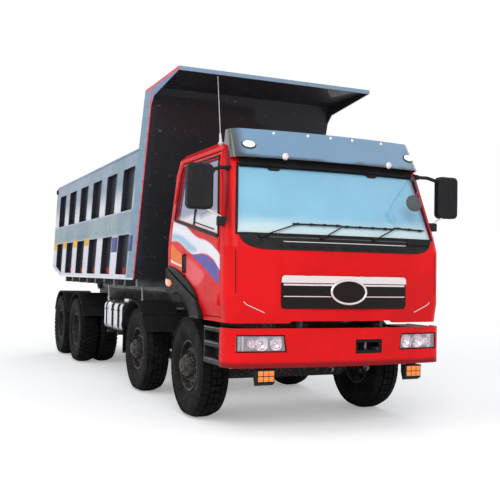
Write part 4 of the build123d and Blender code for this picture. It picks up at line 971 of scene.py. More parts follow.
@dataclass(frozen=True)
class Glass(Finish):
    """Clear or tinted glass with painted light: another colour towards its foot, and darker ends."""

    painted_foot_light: Colour  # the colour towards its foot: a painted reflection on the windows, painted shade along the visor's foot
    foot: float = 0.0  # the height where the foot's colour is full
    top: float = 0.1  # the height where it ends
    veil: float = 0.3  # how opaque the tint is
    rough: float = 0.03
    ends: float = 2.0  # how far out the painted dark reflection at its ends starts

    def make(self) -> bpy.types.Material:
        """Builds the material.

        Returns:
            The material.
        """
        recipe = Recipe(self.name)
        waver = recipe.times(recipe.math("SUBTRACT", recipe.noise(1.6, 3), 0.5), 0.16)
        level = recipe.math("ADD", recipe.axis("Z"), waver)
        # Painted light: another colour towards the foot, and darker ends
        colour = recipe.mix(recipe.range(level, self.top, self.foot), self.colour, self.painted_foot_light)
        ends = recipe.range(recipe.math("ABSOLUTE", recipe.axis("X")), self.ends, self.ends + 0.14)
        colour = recipe.mix(ends, colour, tone(24, 28, 36))
        recipe.use(Base_Color=colour,
                   Alpha=recipe.range(recipe.noise(2.3, 4), 0.3, 0.7, self.veil, min(1.0, self.veil + 0.08)),
                   Roughness=self.rough, Coat_Weight=1.0, Coat_Roughness=0.02, Specular_IOR_Level=0.6)
        recipe.bump(recipe.noise(0.9, 1), 0.002, 0.2)
        return recipe.material


@dataclass(frozen=True)
class Lens(Finish):
    """A moulded lens, ribbed into small prisms."""

    pitch: float = 0.012  # the prisms' size
    depth: float = 0.003
    glow: float = 0.12  # how much light it seems to hold
    veil: float = 1.0

    def make(self) -> bpy.types.Material:
        """Builds the material.

        Returns:
            The material.
        """
        recipe = Recipe(self.name)
        prisms = [recipe.math("PINGPONG", recipe.axis(letter), self.pitch / 2) for letter in ("X", "Z")]
        height = recipe.times(*prisms, 4 / self.pitch**2)
        pale = tuple(min(1.0, part * 1.5 + 0.05) for part in self.colour)
        recipe.use(Base_Color=recipe.mix(height, self.colour, pale), Roughness=0.12, Coat_Weight=1.0, Alpha=self.veil,
                   Emission_Color=self.colour, Emission_Strength=self.glow)
        recipe.bump(height, self.depth, 0.8)
        return recipe.material


@dataclass(frozen=True)
class Weave(Finish):
    """A woven seat cover with a fine check of two threads."""

    thread: Colour
    pitch: float = 260  # how many threads there are to a metre

    def make(self) -> bpy.types.Material:
        """Builds the material.

        Returns:
            The material.
        """
        recipe = Recipe(self.name)
        waves = [
            recipe.node("ShaderNodeTexWave", {"Vector": recipe.place, "Scale": self.pitch / 6.3, "Distortion": 0.4},
                        bands_direction=way).outputs[1]
            for way in ("X", "Z")
        ]
        height = recipe.math("ADD", waves[0], waves[1])
        colour = recipe.mix(recipe.range(height, 0.6, 1.5), self.colour, self.thread)
        recipe.use(Base_Color=colour, Roughness=0.9, Sheen_Weight=0.4)
        recipe.bump(height, 0.0015, 0.7)
        return recipe.material


class Shop:
    """All the truck's finishes, each made once."""

    def __init__(self) -> None:
        """Mixes every finish and keeps it under its own name."""
        red = tone(234, 14, 20)
        finishes = (
            CabPaint("cab_paint", red, foot=0.75, coat=0.06),
            DoorPaint("door_paint", red, foot=0.75, coat=0.06),
            BodyPaint("body_paint", tone(148, 170, 174), foot=1.5, rough=0.38, coat=0.2, chips=0.1),
            Paint("frame_paint", tone(26, 27, 28), foot=0.95, rough=0.5, coat=0.1, chips=0.4),
            Paint("wheel_paint", tone(36, 37, 39), foot=0.9, rough=0.45, coat=0.2, chips=0.3),
            Paint("engine_metal", tone(70, 74, 76), foot=1.0, rough=0.6, coat=0.0, chips=0.6),
            Paint("axle_iron", tone(30, 30, 31), foot=1.0, rough=0.6, coat=0.0, chips=0.6),
            Paint("step_metal", tone(36, 37, 38), foot=0.95, rough=0.5, coat=0.1, chips=0.3),
            Paint("white_strut", tone(212, 214, 216), foot=1.0, rough=0.4),
            Paint("yellow_mark", tone(255, 186, 4), foot=1.2, coat=0.1),
            Paint("blue_mark", tone(34, 42, 140), foot=1.2, coat=0.1),
            Paint("red_mark", tone(222, 24, 30), foot=1.2, coat=0.1),
            Moulded("black_plastic", tone(30, 30, 32), dust=0.06),
            Moulded("grille_black", tone(24, 18, 17), rough=0.22, grain=90, depth=0.0002, dust=0.04),
            Moulded("badge_black", tone(26, 16, 16), rough=0.12, grain=60, depth=0.0001, dust=0.02),
            Moulded("dash_plastic", tone(88, 92, 96), rough=0.62, dust=0.05),
            Moulded("seal_rubber", tone(20, 20, 21), rough=0.45, dust=0.05),
            Moulded("tyre", tone(11, 11, 12), rough=0.75, grain=260, depth=0.0012, dust=0.07),
            Metal("tank_metal", tone(222, 224, 230), rough=0.16, grain=0.3, stretch=(1, 8, 1), grime=0.12),
            Metal("hoist_steel", tone(196, 198, 202), rough=0.18, grain=0.25, grime=0.25),
            Metal("bright_trim", tone(236, 226, 228), rough=0.08, grain=0.08, grime=0.05),
            Metal("reflector", tone(232, 214, 226), rough=0.12, grain=0.6, stretch=(1, 0.3, 1), grime=0.1),
            Metal("bolt_steel", tone(120, 118, 116), rough=0.35, grain=0.6, grime=0.5),
            Metal("mirror_face", tone(226, 232, 238), rough=0.02, grain=0.02, grime=0.02),
            # Painted sky reflection: the windscreen's blue, paler towards its foot
            Glass("glass_tint", tone(136, 200, 230), tone(214, 240, 244), 1.95, 2.12, 0.86),
            Glass("side_glass", tone(84, 104, 146), tone(238, 240, 244), 2.09, 2.17, 0.86),
            Glass("lamp_glass", tone(236, 232, 240), tone(240, 226, 230), 0.8, 0.9, 0.12),
            # Painted shade along the visor's foot, and a painted dark reflection at its ends
            Glass("visor_smoke", tone(104, 146, 178), tone(34, 44, 58), 2.655, 2.70, 0.95, 0.22, 0.92),
            Lens("amber", tone(240, 126, 14), pitch=0.028, glow=0.12),
            Lens("tail_red", tone(190, 16, 20), pitch=0.02, glow=0.08),
            Lens("clear_lens", tone(236, 236, 240), pitch=0.02, glow=0.05),
            Lens("bulb_glow", tone(255, 250, 244), pitch=0.02, glow=0.3),
            Weave("seat_cloth", tone(92, 98, 106), tone(60, 64, 72)),
        )
        self.made = {finish.name: finish.make() for finish in finishes}

    def dress(self, piece: Thing, finish: str) -> Thing:
        """Gives a piece one finish all over.

        Args:
            piece: the piece.
            finish: the finish's name.

        Returns:
            The piece.
        """
        piece.data.materials.clear()
        piece.data.materials.append(self.made[finish])
        return piece

    def fit(self, piece: Thing, body: str, finish: str, slot: str | None = None, replaces: Sequence[str] = ()) -> Thing:
        """Finishes a piece and fits it to the body that it moves with.

        Args:
            piece: the piece.
            body: the body's name.
            finish: the finish's name.
            slot: the record's slot, where the finish isn't one itself; not used.
            replaces: the CAD nodes that it stands for.

        Returns:
            The piece.
        """
        self.dress(piece, finish)
        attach(piece, body)
        if replaces:
            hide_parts(*replaces)
        log.info("%s rides on %s in %s", piece.name, body, finish)
        return piece


@dataclass
class Assembly:
    """A sub-assembly, whose pieces the shop finishes."""

    shop: Shop


@dataclass
class Studio:
    """The floor, the light and the camera, at the photograph's viewing angle."""

    eye: Place = (-4.012, -11.199, 1.517)
    yaw: float = 0.418  # radians from straight back towards the truck's left
    pitch: float = 0.031
    roll: float = 0.019
    lens: float = 57.1  # millimetres on a 36 mm sensor
    floor_half: float = 30.0
    fade: Pair = (7.0, 15.0)  # how far off the floor starts to melt away, and where it is gone
    lift: float = 0.30  # how much paler the floor looks to the camera alone

    def camera(self) -> None:
        """Puts the camera in place and makes it the scene's."""
        ahead = Vector((
            math.sin(self.yaw) * math.cos(self.pitch), math.cos(self.yaw) * math.cos(self.pitch), math.sin(self.pitch),
        ))
        level = ahead.cross(UP).normalized()
        rise = level.cross(ahead)
        right = level * math.cos(self.roll) + rise * math.sin(self.roll)
        top = rise * math.cos(self.roll) - level * math.sin(self.roll)
        bpy.ops.object.camera_add()
        camera = bpy.context.object
        camera.name = "photo_camera"
        camera.data.lens = self.lens
        camera.data.sensor_width = 36
        camera.data.clip_end = 500
        turn = Matrix((right, top, -ahead)).transposed().to_4x4()
        camera.matrix_world = Matrix.Translation(Vector(self.eye)) @ turn
        bpy.context.scene.camera = camera

    def floor(self) -> None:
        """Lays a plain white floor that keeps the truck's shadow and melts into the background far off."""
        deselect()
        bpy.ops.mesh.primitive_plane_add(size=2 * self.floor_half)
        floor = settled("studio_floor")
        recipe = Recipe("studio_floor")
        grain = recipe.noise(0.4, 2)
        recipe.use(Base_Color=recipe.mix(grain, (0.93, 0.93, 0.93), (0.95, 0.95, 0.95)), Roughness=0.9,
                   Specular_IOR_Level=0.1)
        away = recipe.node("ShaderNodeVectorMath", {0: recipe.place}, operation="LENGTH").outputs["Value"]
        seen = recipe.node("ShaderNodeLightPath").outputs["Is Camera Ray"]
        recipe.use(Alpha=recipe.range(away, self.fade[0], self.fade[1], 1, 0), Emission_Color=(1, 1, 1),
                   Emission_Strength=recipe.times(seen, self.lift))
        floor.data.materials.append(recipe.material)

    def world(self, strength: float = 0.62) -> None:
        """Lights the truck softly from all round, in front of a white background.

        Args:
            strength: how strong the light is; the background itself is always white.
        """
        world = bpy.data.worlds.new("studio_world")
        world.use_nodes = True
        bpy.context.scene.world = world
        wiring = Wiring(world.node_tree)
        soft = world.node_tree.nodes["Background"]
        soft.inputs["Color"].default_value = (0.93, 0.96, 1.0, 1)
        soft.inputs["Strength"].default_value = strength
        white = wiring.node("ShaderNodeBackground", {"Color": (1, 1, 1, 1)})
        rays = wiring.node("ShaderNodeLightPath").outputs
        through = wiring.math("ADD", rays["Is Glossy Ray"], rays["Is Transmission Ray"])
        links = {0: rays["Is Camera Ray"], 1: through}
        seen = wiring.node("ShaderNodeMath", links, operation="ADD", use_clamp=True)
        links = {0: seen.outputs[0], 1: soft.outputs[0], 2: white.outputs[0]}
        mixed = wiring.node("ShaderNodeMixShader", links)
        world.node_tree.links.new(mixed.outputs[0], world.node_tree.nodes["World Output"].inputs["Surface"])

    def lamps(self) -> None:
        """Hangs three large soft lamps: one over the nose, one over the right side and a weak one behind."""
        aim = Vector((0, -1.0, 1.6))
        # Rows: name, place, size, power
        for name, place, size, power in (
            ("nose_lamp", (-3.5, -13.0, 7.5), 7.0, 560),
            ("side_lamp", (-13.0, -2.0, 8.0), 8.0, 400),
            ("rear_lamp", (6.0, 14.0, 8.0), 8.0, 260),
        ):
            bpy.ops.object.light_add(type="AREA", location=place)
            lamp = bpy.context.object
            lamp.name = name
            lamp.data.size = size
            lamp.data.energy = power
            lamp.rotation_euler = (aim - Vector(place)).to_track_quat("-Z", "Y").to_euler()

    def build(self) -> None:
        """Sets the whole stage."""
        self.camera()
        self.floor()
        self.world()
        self.lamps()
        bpy.context.scene.view_settings.view_transform = "Standard"
        log.info("the studio is set")


class Tread(Enum):
    """The two tread patterns on the truck."""

    STEER = "steer"
    DRIVE = "drive"


@dataclass
class RoadWheel(Assembly):
    """One tyre on its rim, drawn on the right of the truck and carried to every wheel."""

    radius: float = 0.540
    width: float = 0.290
    bead: float = 0.262  # the radius where the tyre meets the rim
    front_track: float = 2.060
    twin_track: float = 1.850
    twin_gap: float = 0.330  # between the middles of two twins
    blocks: int = 44  # lugs round the tyre
    nut_circle: float = 0.167
    nuts: int = 10
    shoulder_drop: float = 0.030
    # How far outboard of the wheel's middle the disc's face and the hub's cap stand
    front_hub: Pair = (0.060, 0.150)
    rear_hub: Pair = (-0.088, 0.010)
    # The axles' distances behind the bumper's face
    setbacks: tuple[float, ...] = (1.330, 3.280, 6.840, 8.190)

    def carcass(self, name: str) -> Thing:
        """Spins the tyre's section about the X axis, at the origin.

        Args:
            name: the tyre's name.

        Returns:
            The bare tyre.
        """
        half, deep = self.width / 2, self.radius - 0.016
        section = [
            (0.56, self.bead + 0.002), (0.72, self.bead + 0.006), (0.80, self.bead + 0.030), (0.93, self.bead + 0.085),
            (1.0, self.radius - 0.145), (0.985, self.radius - 0.095), (0.93, self.radius - 0.045), (0.86, deep - 0.014),
            (0.74, deep - 0.002), (0.70, deep), (0.42, deep), (0.40, deep - 0.004), (0.32, deep - 0.004), (0.30, deep),
        ]
        left = [(-share * half, reach) for share, reach in section]
        right = [(share * half, reach) for share, reach in reversed(section)]
        tyre = spun(name, left + right, (0, 0, 0), ACROSS, 72)
        # Fine rings on both flanks where the mould's parts met
        rings = [
            spun("flank_ring", [(side * share * half, reach), (side * (share + 0.012) * half, reach + 0.004),
                                (side * share * half, reach + 0.009)], (0, 0, 0), ACROSS, 72)
            for side in (-1, 1) for share, reach in ((0.905, self.bead + 0.072), (0.985, self.radius - 0.118))
        ]
        return joined(name, [tyre, *rings])

    def lug(self, tread: Tread) -> list[Thing]:
        """Makes one step of the tread at the tyre's top.

        Args:
            tread: the pattern.

        Returns:
            Its blocks.
        """
        half = self.width / 2
        pitch = math.tau * self.radius / self.blocks
        gap = 0.30 if tread is Tread.DRIVE else 0.10
        rows = ((-0.99, -0.46), (-0.36, -0.03), (0.03, 0.36), (0.46, 0.99))
        pieces = []
        for row, (start, end) in enumerate(rows):
            skew = pitch * (0.28 if row in (1, 3) else -0.28) * (1 if tread is Tread.DRIVE else 0.4)
            shift = pitch * 0.5 * (row in (1, 2))
            low, high = -pitch * (0.5 - gap / 2) + shift, pitch * (0.5 - gap / 2) + shift
            outer = row in (0, 3)
            edges = [(start * half, low - skew / 2), (end * half, low + skew / 2),
                     (end * half, high + skew / 2), (start * half, high - skew / 2)]
            piece = plate("lug", [(x, y, self.radius - 0.020) for x, y in edges], (0, 0, 0.020), 0)
            edit(piece, lambda face: face.normal.z > FACING)
            bpy.ops.transform.resize(value=(0.96, 0.90, 1))
            done(piece)
            if outer:
                # The shoulder block rounds down over the flank
                for vert in piece.data.vertices:
                    if abs(vert.co.x) > 0.9 * half:
                        vert.co.z -= self.shoulder_drop
            pieces.append(piece)
        return pieces

    def tyre(self, name: str, tread: Tread) -> Thing:
        """Makes one whole tyre about the origin.

        Args:
            name: the piece's name.
            tread: its pattern.

        Returns:
            The tyre.
        """
        body = self.carcass(name)
        lugs = joined("lugs", self.lug(tread))
        lugs = scattered("lugs", lugs, around((0, 0, 0), ACROSS, self.blocks))
        return joined(name, [body, lugs])

    def fittings(self, face: float, cap: float) -> list[tuple[Thing, str, str]]:
        """Makes the nuts, their studs, the valve and the hub's cap about the origin, facing the right side.

        Args:
            face: how far outboard of the wheel's middle the disc's face stands.
            cap: how far outboard the hub's cap starts.

        Returns:
            Each piece with its finish and its slot.
        """
        nut = drum("nut", (-face, 0, self.nut_circle), (-face - 0.024, 0, self.nut_circle), 0.0165, 6, 0.015)
        washer = drum("washer", (-face, 0, self.nut_circle), (-face - 0.007, 0, self.nut_circle), 0.022, 16)
        stud = drum("stud", (-face - 0.02, 0, self.nut_circle), (-face - 0.040, 0, self.nut_circle), 0.010, 10, 0.008)
        ring = scattered("wheel_nuts", joined("nut", [nut, washer, stud]), around((0, 0, 0), ACROSS, self.nuts, 18))
        collar = spun("hub_collar", [
            (-face + 0.004, 0.138), (-face - 0.006, 0.136), (-face - 0.010, 0.128), (-cap + 0.004, 0.118),
            (-cap, 0.112),
        ], (0, 0, 0), ACROSS, 40)
        dome = spun("hub_cap", [
            (-cap + 0.02, 0.104), (-cap - 0.004, 0.104), (-cap - 0.012, 0.098), (-cap - 0.014, 0.080),
            (-cap - 0.040, 0.074), (-cap - 0.048, 0.066), (-cap - 0.050, 0.028), (-cap - 0.058, 0.024),
            (-cap - 0.060, 0.0),
        ], (0, 0, 0), ACROSS, 40)
        bolt = drum("cap_bolt", (-cap - 0.01, 0, 0.090), (-cap - 0.022, 0, 0.090), 0.008, 6)
        bolts = scattered("cap_bolts", bolt, around((0, 0, 0), ACROSS, 8))
        valve = pipe("valve", [(-face + 0.02, 0, 0.222), (-face - 0.02, 0, 0.215), (-face - 0.05, 0, 0.205)], 0.004)
        lip = spun("rim_lip", [
            (-0.104, 0.252), (-0.118, 0.250), (-0.121, 0.258), (-0.118, 0.268), (-0.106, 0.272), (-0.100, 0.262),
        ], (0, 0, 0), ACROSS, 60)
        return [(ring, "bolt_steel", "bright_trim"), (bolts, "bolt_steel", "bright_trim"),
                (joined("hub_cap", [collar, dome, valve, lip]), "wheel_paint", "wheel_paint")]

    def build(self) -> None:
        """Makes both patterns once and carries them, with their fittings, to every wheel."""
        steer, drive = self.tyre("steer_tyre", Tread.STEER), self.tyre("drive_tyre", Tread.DRIVE)
        front, rear = self.fittings(*self.front_hub), self.fittings(*self.rear_hub)
        for axle, setback in enumerate(self.setbacks, 1):
            twin = axle > 2
            for side, word in SIDES:
                body = f"wheel_{axle}{word[0]}"
                turn = Matrix.Diagonal((-side, 1, 1, 1))
                middles = [self.front_track / 2]
                if twin:
                    middles = [self.twin_track / 2 - self.twin_gap / 2, self.twin_track / 2 + self.twin_gap / 2]
                tyres = [
                    copy_of(drive if twin else steer, "tyre",
                            Matrix.Translation((side * x, back(setback), self.radius)) @ turn)
                    for x in middles
                ]
                self.shop.fit(joined(f"tread_{axle}{word[0]}", tyres), body, "tyre",
                              replaces=(f"tyre_{axle}{word[0]}",))
                for piece, finish, slot in rear if twin else front:
                    move = Matrix.Translation((side * middles[-1], back(setback), self.radius)) @ turn
                    name = f"{piece.name.split('.')[0]}_{axle}{word[0]}"
                    self.shop.fit(copy_of(piece, name, move), body, finish, slot)
        for piece in (steer, drive, *(row[0] for row in front + rear)):
            bpy.data.objects.remove(piece)


@dataclass
class CabFront(Assembly):
    """The windscreen's seal, the cowl with its wipers, the grille with its bare badge and the panel's creases."""

    screen: tuple = ((1.105, 1.915), (1.010, 2.585))  # corners on the truck's left, as X and Z
    # Its left half from the foot upwards, as X and Z
    cowl: tuple = ((0.40, 1.757), (0.80, 1.757), (0.90, 1.763), (0.985, 1.782), (1.045, 1.815), (1.080, 1.860),
                   (1.092, 1.915))
    grille: Pair = (0.020, 1.358)
    grille_half: Pair = (0.705, 0.159)
    strip: float = 0.072  # the height of the bright strip along the grille's top
    badge: Pair = (0.028, 1.363)
    badge_half: Pair = (0.205, 0.125)
    # Each wiper's pivot, its arm's end, its blade's ends across the cab and the blade's fall
    wiper_rows: tuple = (
        ((-0.884, 1.888), (-0.500, 2.012), (-0.530, 0.000), 0.0),
        ((-0.260, 1.890), (0.000, 2.006), (0.010, 0.620), 0.0),
        ((0.338, 1.892), (0.648, 2.018), (0.640, 1.030), -0.012),
    )

    def panel(self, name: str, rows: Iterable, finish: str, slot: str, thick: float, lift: float = 0.0,
              replaces: Sequence[str] = (), onto: str = "cab_shell", bevel: float = 0.0015) -> Thing:
        """Lays a panel with an outline of X and Z pairs on the cab's front and fits it to the cab."""
        piece = laid(name, front_rows(rows), ALONG, onto, thick, lift, bevel=bevel)
        return self.shop.fit(piece, "cab", finish, slot, replaces)

    def seals(self) -> None:
        """Runs the rubber seal round the windscreen, and lays a black band above it as painted shade under the visor.
        """
        skin = Surface("cab_shell")
        (low_x, low_z), (high_x, high_z) = self.screen
        corners = front_rows([(low_x + 0.010, low_z - 0.010), (high_x + 0.010, high_z + 0.010)], mirror=True)
        path = skin.trail([*corners, corners[0]], ALONG, 0.07, 0.002)
        self.shop.fit(pipe("screen_seal", path[:-1], 0.013, closed=True), "cab", "seal_rubber", "black_plastic")
        # Painted shade: a black band where the visor's underside shades the cab over the windscreen
        band = [(-1.000, 2.690), (-1.012, 2.592), (1.012, 2.592), (1.000, 2.690)]
        self.panel("visor_shade_band", band, "black_plastic", "black_plastic", 0.010, 0.012)
        foot = [(-0.995, 2.582), (-1.000, 2.568), (-0.720, 2.566), (-0.690, 2.544), (-0.600, 2.544), (-0.570, 2.566),
                (0.400, 2.566), (0.430, 2.544), (0.520, 2.544), (0.550, 2.566), (1.000, 2.568), (0.995, 2.582)]
        self.panel("header_foot", foot, "black_plastic", "black_plastic", 0.006, 0.004, onto="windscreen")

    def cowls(self) -> None:
        """Lays the black cowl under the windscreen, with its two lines, its vents and the cap at its left end."""
        rows = [*self.cowl, *((-x, z) for x, z in reversed(self.cowl))]
        self.panel("cowl", rows, "black_plastic", "black_plastic", 0.010, replaces=("wipers",), bevel=0.003)
        # Rows: name, left end, right end, height, finish
        for name, low, high, level, finish in (
            ("cowl_line_upper", -0.80, 0.76, 1.878, "dash_plastic"),
            ("cowl_line_lower", -0.66, 0.74, 1.838, "bright_trim"),
        ):
            rows = oblong((low, level - 0.004), (high, level + 0.004))
            self.panel(name, rows, finish, finish, 0.006, 0.009)
        rows = rounded((0.760, 1.843), (1.062, 1.900), 0.012, 2)
        self.panel("cowl_cap", rows, "seal_rubber", "black_plastic", 0.020, 0.008, bevel=0.004)
        vents = [
            laid("cowl_vents", front_rows(rounded((x - 0.045, 1.786), (x + 0.045, 1.796), 0.004, 2)), ALONG,
                 "cab_shell", 0.004, 0.009)
            for x in (-0.70, -0.56, -0.42, -0.28, -0.14, 0.0, 0.14, 0.28, 0.42, 0.56, 0.70)
        ]
        self.shop.fit(joined("cowl_vents", vents), "cab", "seal_rubber", "black_plastic")

    def wipers(self) -> None:
        """Stands the three wipers on the cowl, each with its spindle, arm, spine and rubber."""
        skin = Surface("windscreen", "cab_shell")
        for number, (pivot, tip, (first, last), fall) in enumerate(self.wiper_rows, 1):
            foot = skin.touch(front_rows([pivot])[0], ALONG)
            spindle = spun("spindle", [(0.010, 0.024), (-0.030, 0.022), (-0.038, 0.016), (-0.040, 0.0)], foot, ALONG,
                           20)
            knuckle = drum("knuckle", foot + Vector((-0.014, -0.030, -0.008)), foot + Vector((0.075, -0.036, 0.020)),
                           0.016, 12, 0.010)
            reach = front_rows([(pivot[0] + 0.06, pivot[1] + 0.016), tip])
            arm = pipe("arm", skin.trail(reach, ALONG, 0.06, 0.034), 0.0065)
            ends = front_rows([(first, tip[1] + 0.004), (last, tip[1] + 0.004 + fall)])
            spine = pipe("spine", skin.trail(ends, ALONG, 0.05, 0.024), 0.0055)
            edge = skin.trail(ends, ALONG, 0.05, 0.009)
            rubber = pipe("rubber", edge, 0.008)
            claws = [
                block("claw", place + Vector((-0.014, -0.022, -0.011)), place + Vector((0.014, -0.002, 0.011)), 0.003)
                for place in edge[1::3]
            ]
            piece = joined(f"wiper_{number}", [spindle, knuckle, arm, spine, rubber, *claws])
            self.shop.fit(piece, "cab", "black_plastic")

    def grilles(self) -> None:
        """Builds the grille: a black panel, a bright strip along its top, two bright lines and the ringed badge."""
        (mid_x, mid_z), (half_x, half_z) = self.grille, self.grille_half
        low, high = (mid_x - half_x, mid_z - half_z), (mid_x + half_x, mid_z + half_z)
        self.panel("grille_panel", rounded(low, high, 0.036), "grille_black", "black_plastic", 0.014,
                   replaces=("grille",), bevel=0.004)
        top = rounded(low, high, 0.036)
        top = [(x, max(z, high[1] - self.strip)) for x, z in top]
        top = [place for number, place in enumerate(top) if place not in top[:number]]
        self.panel("grille_strip", top, "bright_trim", "bright_trim", 0.010, 0.012, bevel=0.003)
        level = high[1] - self.strip - 0.016
        for name, height, half in (("grille_lip", level, 0.009), ("grille_line", mid_z - 0.041, 0.005)):
            rows = oblong((low[0] + 0.02, height - half), (high[0] - 0.02, height + half))
            self.panel(name, rows, "bright_trim", "bright_trim", 0.005, 0.013)
        skin = Surface("cab_shell")
        rim = front_rows(oval(self.badge, (self.badge_half[0] - 0.010, self.badge_half[1] - 0.010), 48))
        path = [skin.touch(place, ALONG, 0.028) for place in rim]
        ring = pipe("badge_ring", path, 0.013, closed=True, facets=3)
        self.shop.fit(ring, "cab", "bright_trim")
        face = oval(self.badge, (self.badge_half[0] - 0.014, self.badge_half[1] - 0.014), 40)
        self.panel("badge_face", face, "badge_black", "black_plastic", 0.012, 0.014)

    def creases(self) -> None:
        """Draws the front panel's creases and their glints, the seams beside it and the shelf under the grille."""
        skin = Surface("cab_shell")
        for side, word in SIDES:
            corners = [(side * x, z) for x,
                       z in ((1.120, 1.690), (1.112, 1.360), (1.085, 1.290), (1.020, 1.235), (0.845, 1.160))]
            path = skin.trail(front_rows(corners), ALONG, 0.05, -0.001)
            self.shop.fit(pipe(f"crease_{word}", path, 0.0055), "cab", "cab_paint")
            # A painted highlight: a bright strip along the crease's lower third
            glint = pipe(f"crease_glint_{word}", [place + ALONG * -0.003 for place in path[-1 - len(path) // 3:]],
                         0.0048)
            self.shop.fit(glint, "cab", "bright_trim")
            path = skin.trail(front_rows([(side * 1.135, 1.750), (side * 1.128, 1.340)]), ALONG, 0.05, 0.0)
            self.shop.fit(pipe(f"seam_{word}", path, 0.004), "cab", "seal_rubber", "black_plastic")
        lip = skin.trail(front_rows([(-0.34, 1.186), (0.42, 1.186)]), ALONG, 0.06, -0.001)
        self.shop.fit(pipe("grille_shelf", lip, 0.007), "cab", "cab_paint")

    def build(self) -> None:
        """Builds the cab's front."""
        self.seals()
        self.cowls()
        self.wipers()
        self.grilles()
        self.creases()


@dataclass
class Visor(Assembly):
    """The sun visor's lamps, knobs and studs, and the whip aerial."""

    lamps: tuple = ((-0.915, 2.786), (0.955, 2.790))  # the oval lamps' middles, as X and Z
    lamp_half: Pair = (0.062, 0.034)
    knobs: tuple = ((-0.570, 2.680), (0.635, 2.680))
    studs: tuple[float, ...] = (-0.63, -0.26, 0.0, 0.26, 0.63)  # across the truck, along the visor's top
    aerial_foot: Place = (-1.134, 0.560, 2.800)  # X, setback and Z
    aerial_tip: Place = (-1.163, 0.600, 3.470)

    def build(self) -> None:
        """Builds the visor's pieces and the aerial."""
        skin = Surface("sun_visor")
        for number, (x, z) in enumerate(self.lamps, 1):
            rim = oval((x, z), (self.lamp_half[0] + 0.005, self.lamp_half[1] + 0.005), 32)
            path = [skin.touch(place, ALONG, 0.004) for place in front_rows(rim)]
            self.shop.fit(pipe(f"visor_lamp_rim_{number}", path, 0.006, closed=True), "cab", "black_plastic")
            lens = laid(f"visor_lamp_{number}", front_rows(oval((x, z), self.lamp_half, 32)), ALONG, "sun_visor", 0.020,
                        bevel=0.006)
            self.shop.fit(lens, "cab", "bulb_glow", "lamp_glass")
        knob = [(0.004, 0.036), (-0.010, 0.036), (-0.020, 0.028), (-0.027, 0.015), (-0.030, 0.0)]
        stud = [(0.004, 0.016), (-0.008, 0.016), (-0.014, 0.010), (-0.016, 0.0)]
        for name, profile, places, steps in (
            ("visor_knobs", knob, self.knobs, 24), ("visor_studs", stud, [(x, 2.925) for x in self.studs], 16),
        ):
            parts = [spun(name, profile, skin.touch(place, ALONG), ALONG, steps) for place in front_rows(places)]
            self.shop.fit(joined(name, parts), "cab", "bright_trim")
        self.aerial()

    def aerial(self) -> None:
        """Stands the stiff whip aerial on the roof's front corner."""
        foot, tip = (Vector((x, back(setback), z)) for x, setback, z in (self.aerial_foot, self.aerial_tip))
        reach = tip - foot
        coil = [(0.0, 0.026), (0.012, 0.026), (0.020, 0.016), (0.060, 0.012), (0.095, 0.010), (0.110, 0.006)]
        mount = spun("mount", [(-0.03, 0.0), *coil, (0.112, 0.0)], foot, reach, 20)
        rod = drum("rod", foot + reach * 0.14, tip, 0.0042, 8, 0.0024, 0.0008)
        bead = drum("bead", tip - reach * 0.008, tip + reach * 0.004, 0.006, 10, bevel=0.002)
        self.shop.fit(joined("whip_aerial", [mount, rod, bead]), "cab", "white_strut", "frame_paint")


